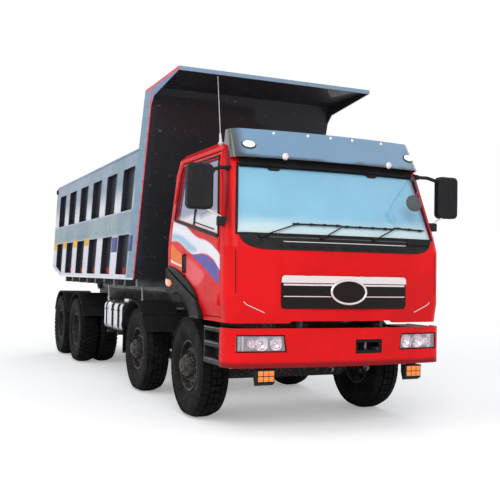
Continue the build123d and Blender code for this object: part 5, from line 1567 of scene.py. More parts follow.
@dataclass
class Mirrors(Assembly):
    """The two door mirrors on their arms, and the round mirror over the windscreen's left side."""

    # Side, inner X, outer X, bottom and top of each housing
    rows: tuple = ((-1, 1.300, 1.560, 2.125, 2.560), (1, 1.300, 1.560, 2.165, 2.615))
    front: float = 0.285  # the setback of the housings' fronts
    rear: float = 0.375  # the setback of their faces
    dish: Place = (0.822, 0.080, 2.280)  # the round mirror's middle as X, setback and Z
    dish_radius: float = 0.085

    def housing(self, name: str, side: int, inner: float, outer: float, bottom: float, top: float) -> list[Thing]:
        """Builds one housing: a domed shell with a rim round its face, a rib and a clamp.

        Args:
            name: its name.
            side: which side of the truck it is on.
            inner: its edge nearer the cab.
            outer: its outer edge.
            bottom: its foot.
            top: its top.

        Returns:
            The black parts, before they are joined.
        """
        near, far = sorted((side * inner, side * outer))
        rows = rounded((near, bottom), (far, top), 0.05, 5)
        shell = plate(name, [(x, back(self.rear), z) for x, z in rows], (0, self.front - self.rear + 0.020, 0), 0)
        edit(shell, lambda face: face.normal.y < -FACING)
        bpy.ops.mesh.inset(thickness=0.022)
        bpy.ops.transform.translate(value=(0, -0.020, 0))
        done(shell)
        edit(shell, lambda face: face.normal.y > FACING)
        bpy.ops.mesh.inset(thickness=0.012)
        bpy.ops.mesh.extrude_region_move(TRANSFORM_OT_translate={"value": (0, -0.010, 0)})
        done(shell)
        soften(shell, 0.004)
        middle = side * (inner + outer) / 2
        face = back(self.front)
        rib = block("rib", (middle - 0.012, face - 0.004, bottom + 0.06), (middle + 0.012, face + 0.02, top - 0.06),
                    0.006)
        near, far = sorted((side * (inner - 0.012), side * (inner + 0.08)))
        clamp = block("clamp", (near, back(0.292), top - 0.085), (far, back(0.362), top - 0.035), 0.010)
        return [shell, rib, clamp]

    def build(self) -> None:
        """Builds both door mirrors and the round one."""
        for side, inner, outer, bottom, top in self.rows:
            word = "left" if side > 0 else "right"
            black = self.housing(f"mirror_{word}", side, inner, outer, bottom, top)
            deep = (self.front + self.rear) / 2
            root = Vector((side * 1.085, back(0.440), top - 0.010))
            knee = Vector((side * 1.200, back(0.370), top - 0.018))
            black.append(pipe("arm", [root, knee, Vector((side * (inner + 0.030), back(deep), top - 0.060))], 0.019,
                              facets=3))
            black.append(drum("foot", root - Vector((side * 0.010, 0, 0)), root.lerp(knee, 0.35), 0.034, 20, 0.024,
                              0.004))
            near, far = sorted((side * 1.146, side * 1.262))
            black.append(block("bracket", (near, back(0.262), bottom - 0.150), (far, back(0.322), bottom - 0.062),
                               0.012, 3))
            path = [(side * 1.200, back(0.292), bottom - 0.075), (side * 1.290, back(0.300), bottom - 0.030),
                    (side * (inner + 0.120), back(deep), bottom + 0.040)]
            self.shop.fit(pipe(f"mirror_rod_{word}", path, 0.010, facets=3), "cab", "bright_trim")
            self.shop.fit(joined(f"mirror_{word}", black), "cab", "black_plastic", replaces=("mirrors",))
            near, far = sorted((side * (inner + 0.014), side * (outer - 0.014)))
            rows = rounded((near, bottom + 0.014), (far, top - 0.014), 0.04, 5)
            glass = plate(f"mirror_face_{word}", [(x, back(self.rear) - 0.010, z) for x, z in rows], (0, 0.005, 0),
                          0.001)
            self.shop.fit(glass, "cab", "mirror_face", "bright_trim")
        self.round_mirror()

    def round_mirror(self) -> None:
        """Hangs the round mirror ahead of the windscreen on its bent arm."""
        middle = Vector((self.dish[0], back(self.dish[1]), self.dish[2]))
        look = Vector((0.10, 1.0, -0.22)).normalized()
        radius = self.dish_radius
        bowl = spun("round_mirror",
                    [(0.004, radius), (-0.006, radius + 0.004), (-0.022, radius * 0.86), (-0.036, radius * 0.52),
                     (-0.042, 0.0)],
                    middle, look, 36)
        skin = Surface("cab_shell", "windscreen")
        root = skin.touch(Vector((1.02, back(AHEAD), 2.575)), ALONG) + Vector((0, -0.010, 0))
        knee = root + Vector((-0.030, -0.075, -0.020))
        arm = pipe("arm", [root, knee, middle + Vector((0.055, 0.010, 0.150)), middle + Vector((0.012, -0.018, 0.030))],
                   0.007, facets=3)
        pad = spun("pad", [(0.012, 0.026), (-0.006, 0.026), (-0.012, 0.018), (-0.014, 0.0)], root, ALONG, 20)
        self.shop.fit(joined("round_mirror", [bowl, arm, pad]), "cab", "dash_plastic")
        face = spun("round_mirror_face", [(0.005, radius), (0.009, radius * 0.6), (0.011, 0.0)], middle, look, 36)
        modify(face, "SOLIDIFY", thickness=0.002, offset=1)
        self.shop.fit(face, "cab", "mirror_face", "bright_trim")


@dataclass
class Doors(Assembly):
    """The doors' seals, dividers, handles and hinges, and the cab's drip rails, grab rails and arch flares."""

    # Outlines, as setback and height
    window: tuple = ((0.362, 1.884), (1.738, 2.108), (1.688, 2.692), (0.612, 2.692))
    divider: tuple = ((1.145, 2.028), (1.190, 2.672))
    pull: tuple = ((1.275, 1.520), (1.345, 1.725))
    flare: tuple = (
        (0.792, 1.064), (0.792, 1.122), (0.905, 1.257), (1.330, 1.398), (1.765, 1.541), (1.876, 1.577),
        (1.876, 1.345), (1.790, 1.300), (1.640, 1.288), (1.480, 1.318), (1.320, 1.292), (1.180, 1.212), (1.090, 1.118),
        (1.055, 1.064),
    )
    # The flare's strip that the door carries
    strip: tuple = (
        (0.900, 1.272), (1.330, 1.416), (1.778, 1.565), (1.778, 1.600), (1.600, 1.572), (1.380, 1.512), (1.160, 1.432),
        (1.000, 1.352),
    )
    marker: tuple = ((1.655, 1.398), (1.700, 1.442), (1.850, 1.456), (1.868, 1.412), (1.820, 1.372), (1.715, 1.366))
    flare_skin: float = 1.250  # how far out the flare's face is

    def glazing(self, side: int, word: str) -> None:
        """Seals one door's window and stands its divider.

        Args:
            side: which side of the truck it is on.
            word: that side's name.
        """
        way = ACROSS * -side
        body = f"door_{word}"
        skin = Surface(body, f"door_glass_{word}")
        corners = side_rows(side, self.window)
        path = skin.trail([*corners, corners[0]], way, 0.09, 0.001)
        self.shop.fit(pipe(f"window_seal_{word}", path[:-1], 0.013, closed=True), body, "seal_rubber", "black_plastic")
        rows = [(0.372, 1.862), (1.735, 2.088), (1.735, 2.116), (0.372, 1.890)]
        sill = laid(f"window_sill_{word}", side_rows(side, rows), way, body, 0.009, 0.004, 0.2)
        self.shop.fit(sill, body, "seal_rubber", "black_plastic")
        glass = Surface(f"door_glass_{word}")
        posts = side_rows(side, self.divider)
        bars = [pipe("divider", glass.trail(posts, way, 0.1, 0.004), 0.011)]
        ledge = side_rows(side, [(0.55, 1.955), (1.12, 2.052)])
        bars.append(pipe("wiper_strip", glass.trail(ledge, way, 0.1, 0.003), 0.006))
        self.shop.fit(joined(f"window_divider_{word}", bars), body, "black_plastic")

    def furniture(self, side: int, word: str) -> None:
        """Fits one door's upright pull, lock, hinges and arch strip.

        Args:
            side: which side of the truck it is on.
            word: that side's name.
        """
        way = ACROSS * -side
        body = f"door_{word}"
        skin = Surface(body)
        (rear_low, foot), (rear_high, top) = self.pull
        rows = side_rows(side, rounded((rear_low, foot), (rear_high, top), 0.018, 3))
        dish = laid(f"pull_dish_{word}", rows, way, body, 0.006, 0.0, 0.2)
        middle = (rear_low + rear_high) / 2
        ends = side_rows(side, [(middle, foot + 0.012), (middle, top - 0.012)])
        grip = skin.trail(ends, way, 0.05, 0.026)
        grip = [skin.touch(ends[0], way), *grip, skin.touch(ends[1], way)]
        bar = pipe("grip", grip, 0.009, facets=3)
        lock = spun("lock", [(0.004, 0.016), (-0.008, 0.016), (-0.011, 0.012), (-0.011, 0.0)],
                    skin.touch(side_rows(side, [(middle, foot - 0.035)])[0], way), way, 20)
        self.shop.fit(joined(f"pull_{word}", [dish, bar, lock]), body, "black_plastic")
        hinges = []
        for height in (1.270, 1.800):
            place = skin.touch(side_rows(side, [(0.352, height)])[0], way)
            hinges.append(drum("hinge", place - UP * 0.055, place + UP * 0.055, 0.012, 14))
            low, high = place + Vector((-0.006, 0.0, -0.04)), place + Vector((0.006, 0.075, 0.04))
            hinges.append(block("leaf", low, high, 0.003))
        self.shop.fit(joined(f"hinges_{word}", hinges), body, "cab_paint")
        strip = laid(f"door_flare_{word}", side_rows(side, self.strip), way, body, 0.030, 0.0, 0.12, 0.006)
        self.shop.fit(strip, body, "black_plastic")

    def arches(self, side: int, word: str) -> None:
        """Shapes one wheel arch's broad flare with its amber marker, the drip rail and the grab rail.

        Args:
            side: which side of the truck it is on.
            word: that side's name.
        """
        face = side * self.flare_skin
        outline = [(face, back(setback), z) for setback, z in self.flare]
        flare = plate(f"arch_flare_{word}", outline, (-side * 0.055, 0, 0), 0)
        inner = self.flare_skin - 0.01
        edit(flare, lambda part: abs(part.normal.x) > FACING and part.calc_center_median().x * side > inner)
        bpy.ops.mesh.inset(thickness=0.016)
        bpy.ops.mesh.inset(thickness=0.010, depth=-0.008)
        done(flare)
        soften(flare, 0.005)
        self.shop.fit(flare, "cab", "black_plastic", replaces=("arch_flares",))
        rows = [(face - side * 0.012, back(setback), z) for setback, z in self.marker]
        lamp = plate(f"side_marker_{word}", rows, (side * 0.016, 0, 0), 0.004)
        self.shop.fit(lamp, "cab", "amber")
        skin = Surface("cab_shell", f"door_{word}")
        way = ACROSS * -side
        rail = skin.trail(side_rows(side, [(0.300, 1.985), (0.566, 2.748), (1.735, 2.752), (1.802, 2.300)]), way, 0.08,
                          0.003)
        self.shop.fit(pipe(f"drip_rail_{word}", rail, 0.009), "cab", "cab_paint")
        grab = [Vector((side * x, back(setback), z)) for x, setback, z in (
            (1.150, 0.235, 2.000), (1.205, 0.215, 2.010), (1.205, 0.250, 2.200), (1.168, 0.330, 2.420),
            (1.120, 0.350, 2.430),
        )]
        shell = Surface("cab_shell")
        ends = [shell.touch(Vector((side * BESIDE, grab[number].y, grab[number].z)), way) for number in (1, 3)]
        if all(ends):
            self.shop.fit(pipe(f"grab_rail_{word}", [ends[0], *grab[1:4], ends[1]], 0.012, facets=3), "cab",
                          "black_plastic")

    def build(self) -> None:
        """Builds both sides."""
        for side, word in SIDES:
            self.glazing(side, word)
            self.furniture(side, word)
            self.arches(side, word)


@dataclass
class Lamps(Assembly):
    """The headlamps with their bowls and bulbs, the turn lamps, the tail lamps' lenses and the towing pocket."""

    low: float = 0.799
    high: float = 0.946
    inner: float = 0.640
    slant: float = 0.025  # how much further out the inner edge is at the top
    groove: float = 1.028  # where the outer segment starts
    outer: float = 1.119
    # Middle across the truck, half width, bottom and top
    turn: tuple[float, float, float, float] = (0.830, 0.095, 0.505, 0.630)
    # The towing pocket's lowest and highest corners, as X and Z
    pocket: tuple = ((0.105, 0.765), (0.415, 0.903))

    def headlamp(self, side: int, word: str) -> None:
        """Builds one headlamp: a bright faceted bowl for each bulb, a rim and a clear front.

        Args:
            side: which side of the truck it is on.
            word: that side's name.
        """
        rows = [(self.inner, self.low), (self.outer, self.low), (self.outer, self.high),
                (self.inner + self.slant, self.high)]
        outline = front_rows([(side * x, z) for x, z in rows])
        shell = laid(f"headlamp_{word}", outline, ALONG, "headlamps", 0.004, -0.052, 0.03, 0)
        self.shop.fit(shell, "chassis", "bolt_steel", "lamp_glass")
        front = laid(f"headlamp_front_{word}", outline, ALONG, "headlamps", 0.004, -0.006, 0.06, 0.001)
        self.shop.fit(front, "chassis", "lamp_glass")
        skin = Surface("headlamps")
        bowls, bulbs = [], []
        for middle, radius in ((0.735, 0.062), (0.880, 0.066), (0.978, 0.040)):
            place = skin.touch(front_rows([(side * middle, (self.low + self.high) / 2)])[0], ALONG, -0.050)
            cup = [(0.000, 0.012), (-0.006, radius * 0.55), (-0.020, radius * 0.88), (-0.034, radius),
                   (-0.036, radius + 0.004), (-0.030, radius + 0.005)]
            bowls.append(spun("bowl", cup, place, ALONG, 12))
            bulbs.append(spun("bulb", [(0.0, 0.010), (-0.020, 0.010), (-0.026, 0.007), (-0.028, 0.0)], place, ALONG,
                              14))
        spots = [skin.touch(front_rows([(side * x, z)])[0], ALONG, -0.050)
                 for x in (0.672, 0.808, 0.930, 1.060, 1.085) for z in (0.822, 0.855, 0.890, 0.923)]
        ribs = [block("rib", spot - Vector((0.0035, 0.012, 0.016)), spot + Vector((0.0035, 0.004, 0.016)), 0.001)
                for spot in spots]
        self.shop.fit(joined(f"headlamp_bowls_{word}", bowls + ribs), "chassis", "reflector", "lamp_glass")
        self.shop.fit(joined(f"headlamp_bulbs_{word}", bulbs), "chassis", "bulb_glow", "lamp_glass")
        wall = front_rows(oblong((side * self.groove, self.low), (side * (self.groove + 0.010), self.high)))
        bar = laid(f"headlamp_bar_{word}", wall, ALONG, "headlamps", 0.040, -0.046, 0.2, 0.001)
        self.shop.fit(bar, "chassis", "reflector", "lamp_glass")
        rim = [(side * x, z) for x, z in rows]
        seal = Surface("headlamps").trail([*front_rows([(x * 0.997, z) for x, z in rim]), front_rows(rim)[0]], ALONG,
                                          0.06, -0.002)
        self.shop.fit(pipe(f"headlamp_rim_{word}", seal, 0.004), "chassis", "seal_rubber", "black_plastic")

    def turns(self, side: int, word: str) -> None:
        """Builds one turn lamp: a black tapered case on a hanger and an amber lens in a grid of prisms.

        Args:
            side: which side of the truck it is on.
            word: that side's name.
        """
        middle, half, low, high = self.turn
        left = side * middle - half
        front, rear = back(0.062), back(0.148)
        profile = [(front, high), (rear, high), (rear, low + 0.050), (rear - 0.030, low - 0.032),
                   (front + 0.004, low - 0.004)]
        case = plate(f"turn_case_{word}", [(left, y, z) for y, z in profile], (2 * half, 0, 0), 0.004)
        hanger = block("hanger", (side * middle - 0.045, back(0.085), high - 0.004),
                       (side * middle + 0.045, back(0.130), high + 0.018), 0.003)
        bolts = [spun("bolt", [(0.0, 0.009), (-0.008, 0.009), (-0.010, 0.006), (-0.010, 0.0)],
                      (side * middle + x, front + 0.001, high - 0.006), ALONG, 6) for x in (-0.084, 0.084)]
        self.shop.fit(joined(f"turn_case_{word}", [case, hanger, *bolts]), "chassis", "black_plastic",
                      replaces=("turn_lamps",))
        cells = []
        width, height = (2 * half - 0.020) / 3, (high - low - 0.018) / 2
        for column in range(3):
            for row in range(2):
                start = Vector((left + 0.010 + width * column, front - 0.010, low + 0.009 + height * row))
                cell = block("cell", start + Vector((0.003, 0, 0.003)),
                             start + Vector((width - 0.003, 0.014, height - 0.003)), 0.0045, 3)
                cells.append(cell)
        self.shop.fit(joined(f"turn_lens_{word}", cells), "chassis", "amber")

    def tails(self) -> None:
        """Fits the tail lamps' red, amber and clear lenses to their bar."""
        _, high, middle = span("rear_lamps")
        rear = Surface("rear_lamps")
        for side, word in SIDES:
            # Rows: name, inner edge, outer edge, finish, slot
            for name, near, far, finish, slot in (
                ("tail", 0.76, 0.88, "tail_red", "tail_red"),
                ("turn", 0.89, 1.00, "amber", "amber"),
                ("reverse", 1.01, 1.12, "clear_lens", "lamp_glass"),
            ):
                place = rear.touch(Vector((side * (near + far) / 2, high.y + 0.3, middle.z)), -ALONG)
                if place is None:
                    continue
                near, far = sorted((side * near, side * far))
                lens = block(f"{name}_lens_{word}", (near, place.y - 0.006, place.z - 0.052),
                             (far, place.y + 0.022, place.z + 0.052), 0.007, 3)
                self.shop.fit(lens, "chassis", finish, slot)

    def towing(self) -> None:
        """Lines the towing pocket in black round its bright pin, and hangs the shackle eyes below the bumper."""
        (low_x, low_z), (high_x, high_z) = self.pocket
        rows = oblong(*self.pocket)
        liner = plate("towing_pocket", [(x, back(0.016), z) for x, z in rows], (0, 0.130, 0), 0)
        edit(liner, lambda face: face.normal.y < -FACING)
        bpy.ops.mesh.inset(thickness=0.031)
        bpy.ops.mesh.extrude_region_move(TRANSFORM_OT_translate={"value": (0, 0.120, 0)})
        done(liner)
        self.shop.fit(smooth(mend(liner)), "chassis", "seal_rubber", "black_plastic")
        middle = (low_x + high_x) / 2
        pin = drum("towing_pin", (middle, back(0.080), low_z + 0.010), (middle, back(0.080), high_z - 0.010), 0.019, 20)
        collar = drum("collar", (middle, back(0.080), high_z - 0.036), (middle, back(0.080), high_z - 0.022), 0.027, 20)
        self.shop.fit(joined("towing_pin", [pin, collar]), "chassis", "bolt_steel", "bright_trim")
        for name, x in (("towing_eye_1", -0.075), ("towing_eye_2", 0.330)):
            eye = spun(name, [(-0.012, 0.034), (0.0, 0.040), (0.012, 0.034), (0.012, 0.022), (0.0, 0.017),
                              (-0.012, 0.022), (-0.012, 0.034)],
                       (x, back(0.16), 0.612), ACROSS, 28)
            stem = block("stem", (x - 0.012, back(0.13), 0.636), (x + 0.012, back(0.19), 0.668), 0.003)
            self.shop.fit(joined(name, [eye, stem]), "chassis", "bolt_steel", "bright_trim")

    def build(self) -> None:
        """Builds every lamp and the towing gear."""
        for side, word in SIDES:
            self.headlamp(side, word)
            self.turns(side, word)
        for _, word in SIDES:
            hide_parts("headlamps")
        self.tails()
        self.towing()


@dataclass
class Body(Assembly):
    """The tipping body's painted marks, edge rails, rivets, seams and the tailgate's fittings."""

    half: float = 1.235
    start: float = 3.490  # the first bay's setback at the level where bays are measured
    bays: int = 6
    pitch: float = 0.910
    width: float = 0.570
    level: float = 2.020
    rake: float = 0.25  # how far the ribs lean back for each metre down
    recess: float = 1.165  # how far out a bay's back wall is

    def slanted(self, name: str, side: int, ahead: float, behind: float, low: float, high: float, out: float,
                thick: float,
                bevel: float = 0.001) -> Thing:
        """Makes a flat mark that leans with the ribs.

        Args:
            name: its name.
            side: which side of the truck it is on.
            ahead: its front edge, measured at the bays' own level.
            behind: its rear edge.
            low: its foot.
            high: its top.
            out: how far from the truck's middle its back is.
            thick: its thickness.
            bevel: how wide its edges' rounding is.

        Returns:
            The mark.
        """
        rows = [(setback - self.rake * (z - self.level), z) for setback,
                z in ((ahead, low), (behind, low), (behind, high), (ahead, high))]
        outline = [(side * out, back(setback), z) for setback, z in rows]
        return plate(name, outline, (side * thick, 0, 0), bevel)

    def rib(self, number: int) -> Pair:
        """Returns the front and rear edges of the rib behind a bay; -1 is the post's own strip."""
        ahead = self.start + self.width + number * self.pitch
        return (ahead, ahead + self.pitch - self.width) if number >= 0 else (self.start - 0.250, self.start)

    def marks(self) -> None:
        """Paints the yellow and blue marks on the ribs and the red ones low in the bays."""
        skin, wall = self.half - 0.001, self.recess - 0.001
        # Rows: name, the ribs that have the mark, foot, top, finish
        for name, numbers, low, high, finish in (
            ("yellow_marks", (2, 3, 4, 5), 1.925, 2.045, "yellow_mark"),
            ("blue_marks", (-1, 0), 1.795, 2.000, "blue_mark"),
        ):
            pieces = []
            for side, _ in SIDES:
                for number in numbers:
                    ahead, behind = self.rib(number)
                    trim = 0.070 if number == -1 else 0.010
                    pieces.append(self.slanted(name, side, ahead + trim, behind - 0.010, low, high, skin, 0.003))
            self.shop.fit(joined(name, pieces), "dump_body", finish, "body_paint")
        pieces = []
        for side, _ in SIDES:
            for number in range(self.bays):
                ahead = self.start + number * self.pitch
                near, far = ahead + 0.330, ahead + 0.450
                pieces.append(self.slanted("red_marks", side, near, far, 1.492, 1.580, wall, 0.004))
        self.shop.fit(joined("red_marks", pieces), "dump_body", "red_mark", "body_paint")

    def rails(self) -> None:
        """Runs the bright rail along the bottom edge, the capping along the top and the folds round the bays."""
        pieces = []
        for side, _ in SIDES:
            foot = [(3.262, 1.420), (8.222, 1.420), (8.990, 1.603), (9.005, 1.640), (8.215, 1.446), (3.255, 1.446)]
            pieces.append(plate("foot_rail", [(side * (self.half - 0.002), back(setback), z) for setback, z in foot],
                                (side * 0.012, 0, 0), 0.003))
        self.shop.fit(joined("foot_rails", pieces), "dump_body", "tank_metal")
        pieces = []
        for side, _ in SIDES:
            outer, inner, skin = side * (self.half + 0.010), side * (self.half - 0.088), self.half - 0.003
            near, far = sorted((outer, inner))
            pieces.append(block("cap", (near, back(3.140), 3.072), (far, back(8.640), 3.100), 0.006))
            for number in range(self.bays):
                ahead, behind = self.rib(number)
                edges = [ahead - 0.002]
                if number < self.bays - 1:
                    edges.append(behind - 0.006)
                for low, high in ((1.500, 2.010), (2.350, 2.890)):
                    pieces += [self.slanted("fold", side, edge, edge + 0.008, low, high, skin, 0.007, 0)
                               for edge in edges]
        self.shop.fit(joined("body_rails", pieces), "dump_body", "body_paint")

    def rivets(self) -> None:
        """Sets weld studs on the post and along the waist rail, and lashing hooks under the floor."""
        stud = spun("body_studs", [(-0.004, 0.011), (0.004, 0.011), (0.008, 0.007), (0.009, 0.0)], (self.half, 0, 0),
                    ACROSS, 10)
        places = []
        for step in range(12):
            z = 1.52 + step * 0.19
            places.append(Matrix.Translation((0, back(3.290 - 0.285 * (z - 1.43)), z)))
        places += [Matrix.Translation((0, back(3.60 + step * 0.455), 2.105)) for step in range(12)]
        flip = Matrix.Scale(-1, 4, ACROSS)
        self.shop.fit(scattered("body_studs", stud, places + [flip @ place for place in places]), "dump_body",
                      "body_paint")
        hook = pipe("lashing_hooks", [(self.half - 0.03, 0, 1.405), (self.half - 0.03, 0, 1.365), (self.half, 0, 1.352),
                                      (self.half + 0.012, 0, 1.372)], 0.007, facets=2)
        spots = [Matrix.Translation((0, back(setback), 0)) for setback in (3.9, 4.8, 5.7, 6.6, 7.5)]
        self.shop.fit(scattered("lashing_hooks", hook, spots + [flip @ spot for spot in spots]), "dump_body",
                      "frame_paint")

    def gate(self) -> None:
        """Gives the tailgate its pin caps and latches."""
        caps, jaws = [], []
        pin = back(8.692)
        for side, _ in SIDES:
            caps.append(spun("cap", [(-0.02, 0.046), (0.010, 0.046), (0.020, 0.036), (0.022, 0.0)],
                             (side * (self.half + 0.002), pin, 3.02),
                             ACROSS * side, 24))
            near, far = sorted((side * 1.06, side * 1.15))
            jaws.append(block("jaw", (near, back(8.955), 1.640), (far, back(9.030), 1.720), 0.008))
            jaws.append(drum("link", (side * 1.105, back(8.99), 1.70), (side * 1.105, back(8.945), 1.86), 0.014, 12))
        self.shop.fit(joined("gate_pin_caps", caps), "dump_body", "frame_paint")
        self.shop.fit(joined("gate_latches", jaws), "tailgate", "frame_paint")

    def build(self) -> None:
        """Builds the body's pieces."""
        self.marks()
        self.rails()
        self.rivets()
        self.gate()


@dataclass
class Chassis(Assembly):
    """What hangs on the frame: tank straps and cap, bolts, struts, hoses, flaps, the battery lid and tread edges."""

    web: float = 0.430  # how far out the rails' outer faces are
    struts: tuple[float, ...] = (3.550, 5.370)  # the pale struts' setbacks

    def tank(self) -> None:
        """Straps the tank and caps its filler."""
        low, high, _ = span("fuel_tank")
        straps = []
        for setback in (4.20, 4.53, 4.86):
            rows = rounded((low.x - 0.006, low.z + 0.032), (high.x - 0.02, 1.086), 0.060, 4)
            path = [(x, back(setback), z) for x, z in rows]
            strap = chain("strap", path)
            bpy.ops.mesh.edge_face_add()
            bpy.ops.mesh.extrude_region_move(TRANSFORM_OT_translate={"value": (0, 0.045, 0)})
            done(strap)
            straps.append(soften(mend(strap), 0.003, 1))
            straps.append(drum("buckle", (low.x - 0.010, back(setback) + 0.006, 0.98),
                               (low.x - 0.010, back(setback) + 0.039, 0.98), 0.010, 10))
        self.shop.fit(joined("tank_straps", straps), "chassis", "frame_paint")
        cap = spun("filler_cap", [(0.0, 0.046), (0.024, 0.046), (0.030, 0.040), (0.034, 0.040), (0.038, 0.052),
                                  (0.056, 0.052), (0.062, 0.044), (0.062, 0.0)],
                   (-0.95, back(4.36), 1.082), UP, 24)
        self.shop.fit(cap, "chassis", "bolt_steel", "bright_trim")

    def bolts(self) -> None:
        """Sets rows of bolts on the rails' webs."""
        head = spun("rail_bolts", [(-0.003, 0.015), (0.009, 0.015), (0.011, 0.012), (0.011, 0.0)], (self.web, 0, 0),
                    ACROSS, 6)
        places = []
        for setback in (0.70, 2.02, 2.62, 3.62, 3.98, 4.30, 4.70, 5.10, 5.50, 5.90, 6.30, 6.62, 8.36, 8.60):
            places += [Matrix.Translation((0, back(setback + step), z)) for step in (0, 0.07) for z in (0.82, 0.99)]
        flip = Matrix.Scale(-1, 4, ACROSS)
        self.shop.fit(scattered("rail_bolts", head, places + [flip @ place for place in places]), "chassis",
                      "bolt_steel", "bright_trim")

    def hangings(self) -> None:
        """Hangs the pale struts, the air hoses and the rubber flaps."""
        pieces = []
        for side, _ in SIDES:
            for setback in self.struts:
                foot = Vector((side * 1.02, back(setback), 1.150))
                top = Vector((side * 1.02, back(setback) + 0.015, 1.345))
                inner, outer = (side * self.web, back(setback), 1.035), (side * 1.03, back(setback), 1.055)
                pieces.append(drum("strut", foot, top, 0.011, 12))
                pieces.append(drum("base", foot - UP * 0.10, foot + UP * 0.010, 0.017, 12))
                pieces.append(drum("arm", inner, outer, 0.014, 12))
        self.shop.fit(joined("pale_struts", pieces), "chassis", "white_strut", "frame_paint")
        hoses = []
        for side, _ in SIDES:
            for lift, reach in ((0.0, 0.0), (0.035, 0.10)):
                rows = [(0.455, 2.30, 0.960), (0.475, 2.9, 0.930), (0.460, 3.8, 0.945), (0.478, 4.7, 0.925),
                        (0.458, 5.6, 0.940), (0.455, 6.2 - reach, 0.935)]
                hoses.append(pipe("hose", [(side * x, back(setback), z + lift) for x, setback, z in rows], 0.010))
        self.shop.fit(joined("air_hoses", hoses), "chassis", "seal_rubber", "black_plastic")
        flaps = []
        for side, _ in SIDES:
            for middle, half, setback, top in ((0.925, 0.290, 8.742, 0.80), (1.030, 0.150, 3.905, 0.86)):
                low = (side * middle - half, back(setback), 0.42)
                flap = block("flap", low, (side * middle + half, back(setback) + 0.010, top), 0.003)
                edit(flap, lambda face: abs(face.normal.y) > FACING)
                bpy.ops.mesh.inset(thickness=0.03)
                bpy.ops.mesh.inset(thickness=0.006, depth=-0.002)
                done(flap)
                flaps.append(flap)
        self.shop.fit(joined("mudflaps", flaps), "chassis", "seal_rubber", "black_plastic")

    def boxes(self) -> None:
        """Lids the battery box and brightens the steps' treads."""
        low, high, _ = span("battery_box")
        lid = block("lid", (low.x + 0.10, low.y - 0.006, high.z - 0.030),
                    (high.x + 0.006, high.y + 0.006, high.z + 0.008), 0.008)
        rows = [block("rib", (high.x - 0.002, low.y + step, low.z + 0.04),
                      (high.x + 0.006, low.y + step + 0.020, high.z - 0.06), 0.003)
                for step in (0.08, 0.20, 0.32, 0.44, 0.54)]
        self.shop.fit(joined("battery_lid", [lid, *rows]), "chassis", "black_plastic")
        edges = []
        for side, _ in SIDES:
            for z in (0.685, 0.848):
                near, far = sorted((side * 1.100, side * 1.214))
                edges.append(block("tread", (near, back(0.320), z), (far, back(0.694), z + 0.012), 0.003))
                edges += [block("bar", (near, back(setback), z + 0.011), (far, back(setback + 0.012), z + 0.018), 0.002)
                          for setback in (0.36, 0.42, 0.48, 0.54, 0.60, 0.66)]
            near, far = sorted((side * 1.196, side * 1.216))
            edges.append(block("lip", (near, back(0.300), 0.993), (far, back(0.712), 1.006), 0.003))
        self.shop.fit(joined("step_treads", edges), "chassis", "bolt_steel", "bright_trim")

    def build(self) -> None:
        """Builds the chassis pieces."""
        self.tank()
        self.bolts()
        self.hangings()
        self.boxes()


